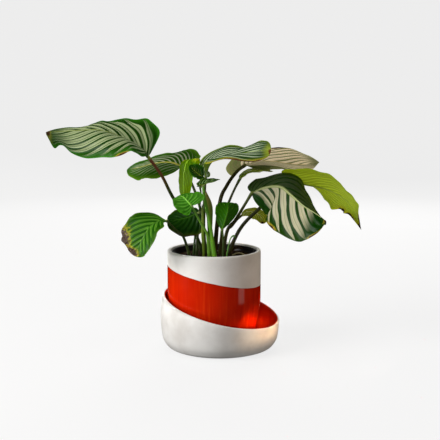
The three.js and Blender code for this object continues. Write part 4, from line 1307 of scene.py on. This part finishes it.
class CALATHEA_OT_stage(bpy.types.Operator):
    """Set up the floor, the lights and the camera"""
    bl_idname = "calathea.stage"
    bl_label = "Stage"

    def execute(self, context):
        scene = context.scene
        settings = scene.calathea_stage
        material, _, shader, _ = surface("Pale backdrop")
        for name, value in (("Base Color", settings.backdrop), ("Roughness", 0.9),
                            ("Emission Color", (*WHITE, 1)),
                            ("Emission Strength", settings.backdrop_glow)):
            shader.inputs[name].default_value = value
        bend = [(FLOOR_REACH + WALL_BEND * math.sin(a), WALL_BEND - WALL_BEND * math.cos(a))
                for a in np.linspace(0.08, math.pi / 2, 18)]
        floor = turn("backdrop", [(0, 0), (FLOOR_REACH, 0), *bend, (FLOOR_REACH + WALL_BEND, WALL_TOP)],
                     material)
        floor.visible_glossy = floor.visible_diffuse = False
        scene.world = world = bpy.data.worlds.new("Even sky")
        world.use_nodes = True
        sky = world.node_tree.nodes["Background"].inputs
        sky["Color"].default_value = (*WHITE, 1)
        sky["Strength"].default_value = settings.sky
        world.cycles_visibility.glossy = False
        for name, place, toward, width, height, share, gloss in SOFT_LIGHTS:
            add_light(name, place, toward, width, height, settings.key_power * share, gloss)
        for light in NARROW_LIGHTS:
            add_light(*light)
        camera = bpy.data.cameras.new("view")
        camera.sensor_width = 36
        camera.lens = settings.lens
        camera.clip_start, camera.clip_end = 0.05, 50
        scene.camera = add_object("view", camera)
        scene.camera.location = settings.camera_place
        scene.camera.rotation_euler = Euler((math.pi / 2 - settings.camera_pitch, 0, 0))
        scene.view_settings.view_transform = "Standard"
        return {"FINISHED"}


class CALATHEA_PT_panel(bpy.types.Panel):
    """Lists the pieces of the potted calathea"""
    bl_idname = "CALATHEA_PT_panel"
    bl_label = "Potted calathea"
    bl_space_type = "VIEW_3D"
    bl_region_type = "UI"
    bl_category = "Calathea"

    def draw(self, context):
        for operator in OPERATORS:
            self.layout.operator(operator.bl_idname)
        for name, group in SETTINGS.items():
            box = self.layout.box()
            for key in group.__annotations__:
                box.prop(getattr(context.scene, name), key)


SETTINGS = {
    "calathea_pottery": PotterySettings,
    "calathea_soil": SoilSettings,
    "calathea_leaves": LeafSettings,
    "calathea_stage": StageSettings,
}
OPERATORS = (
    CALATHEA_OT_stage,
    CALATHEA_OT_saucer,
    CALATHEA_OT_pot,
    CALATHEA_OT_nursery_pot,
    CALATHEA_OT_soil,
    CALATHEA_OT_leaves,
    CALATHEA_OT_rolled,
)


def register():
    for kind in (*SETTINGS.values(), *OPERATORS, CALATHEA_PT_panel):
        bpy.utils.register_class(kind)
    for name, kind in SETTINGS.items():
        setattr(bpy.types.Scene, name, bpy.props.PointerProperty(type=kind))


def unregister():
    for name in SETTINGS:
        delattr(bpy.types.Scene, name)
    for kind in (CALATHEA_PT_panel, *reversed(OPERATORS), *reversed(list(SETTINGS.values()))):
        bpy.utils.unregister_class(kind)


def main():
    register()
    bpy.ops.calathea.stage()
    bpy.ops.calathea.saucer()
    bpy.ops.calathea.pot()
    bpy.ops.calathea.nursery_pot()
    bpy.ops.calathea.soil()
    bpy.ops.calathea.leaves()
    bpy.ops.calathea.rolled()


if __name__ == "__main__":
    main()
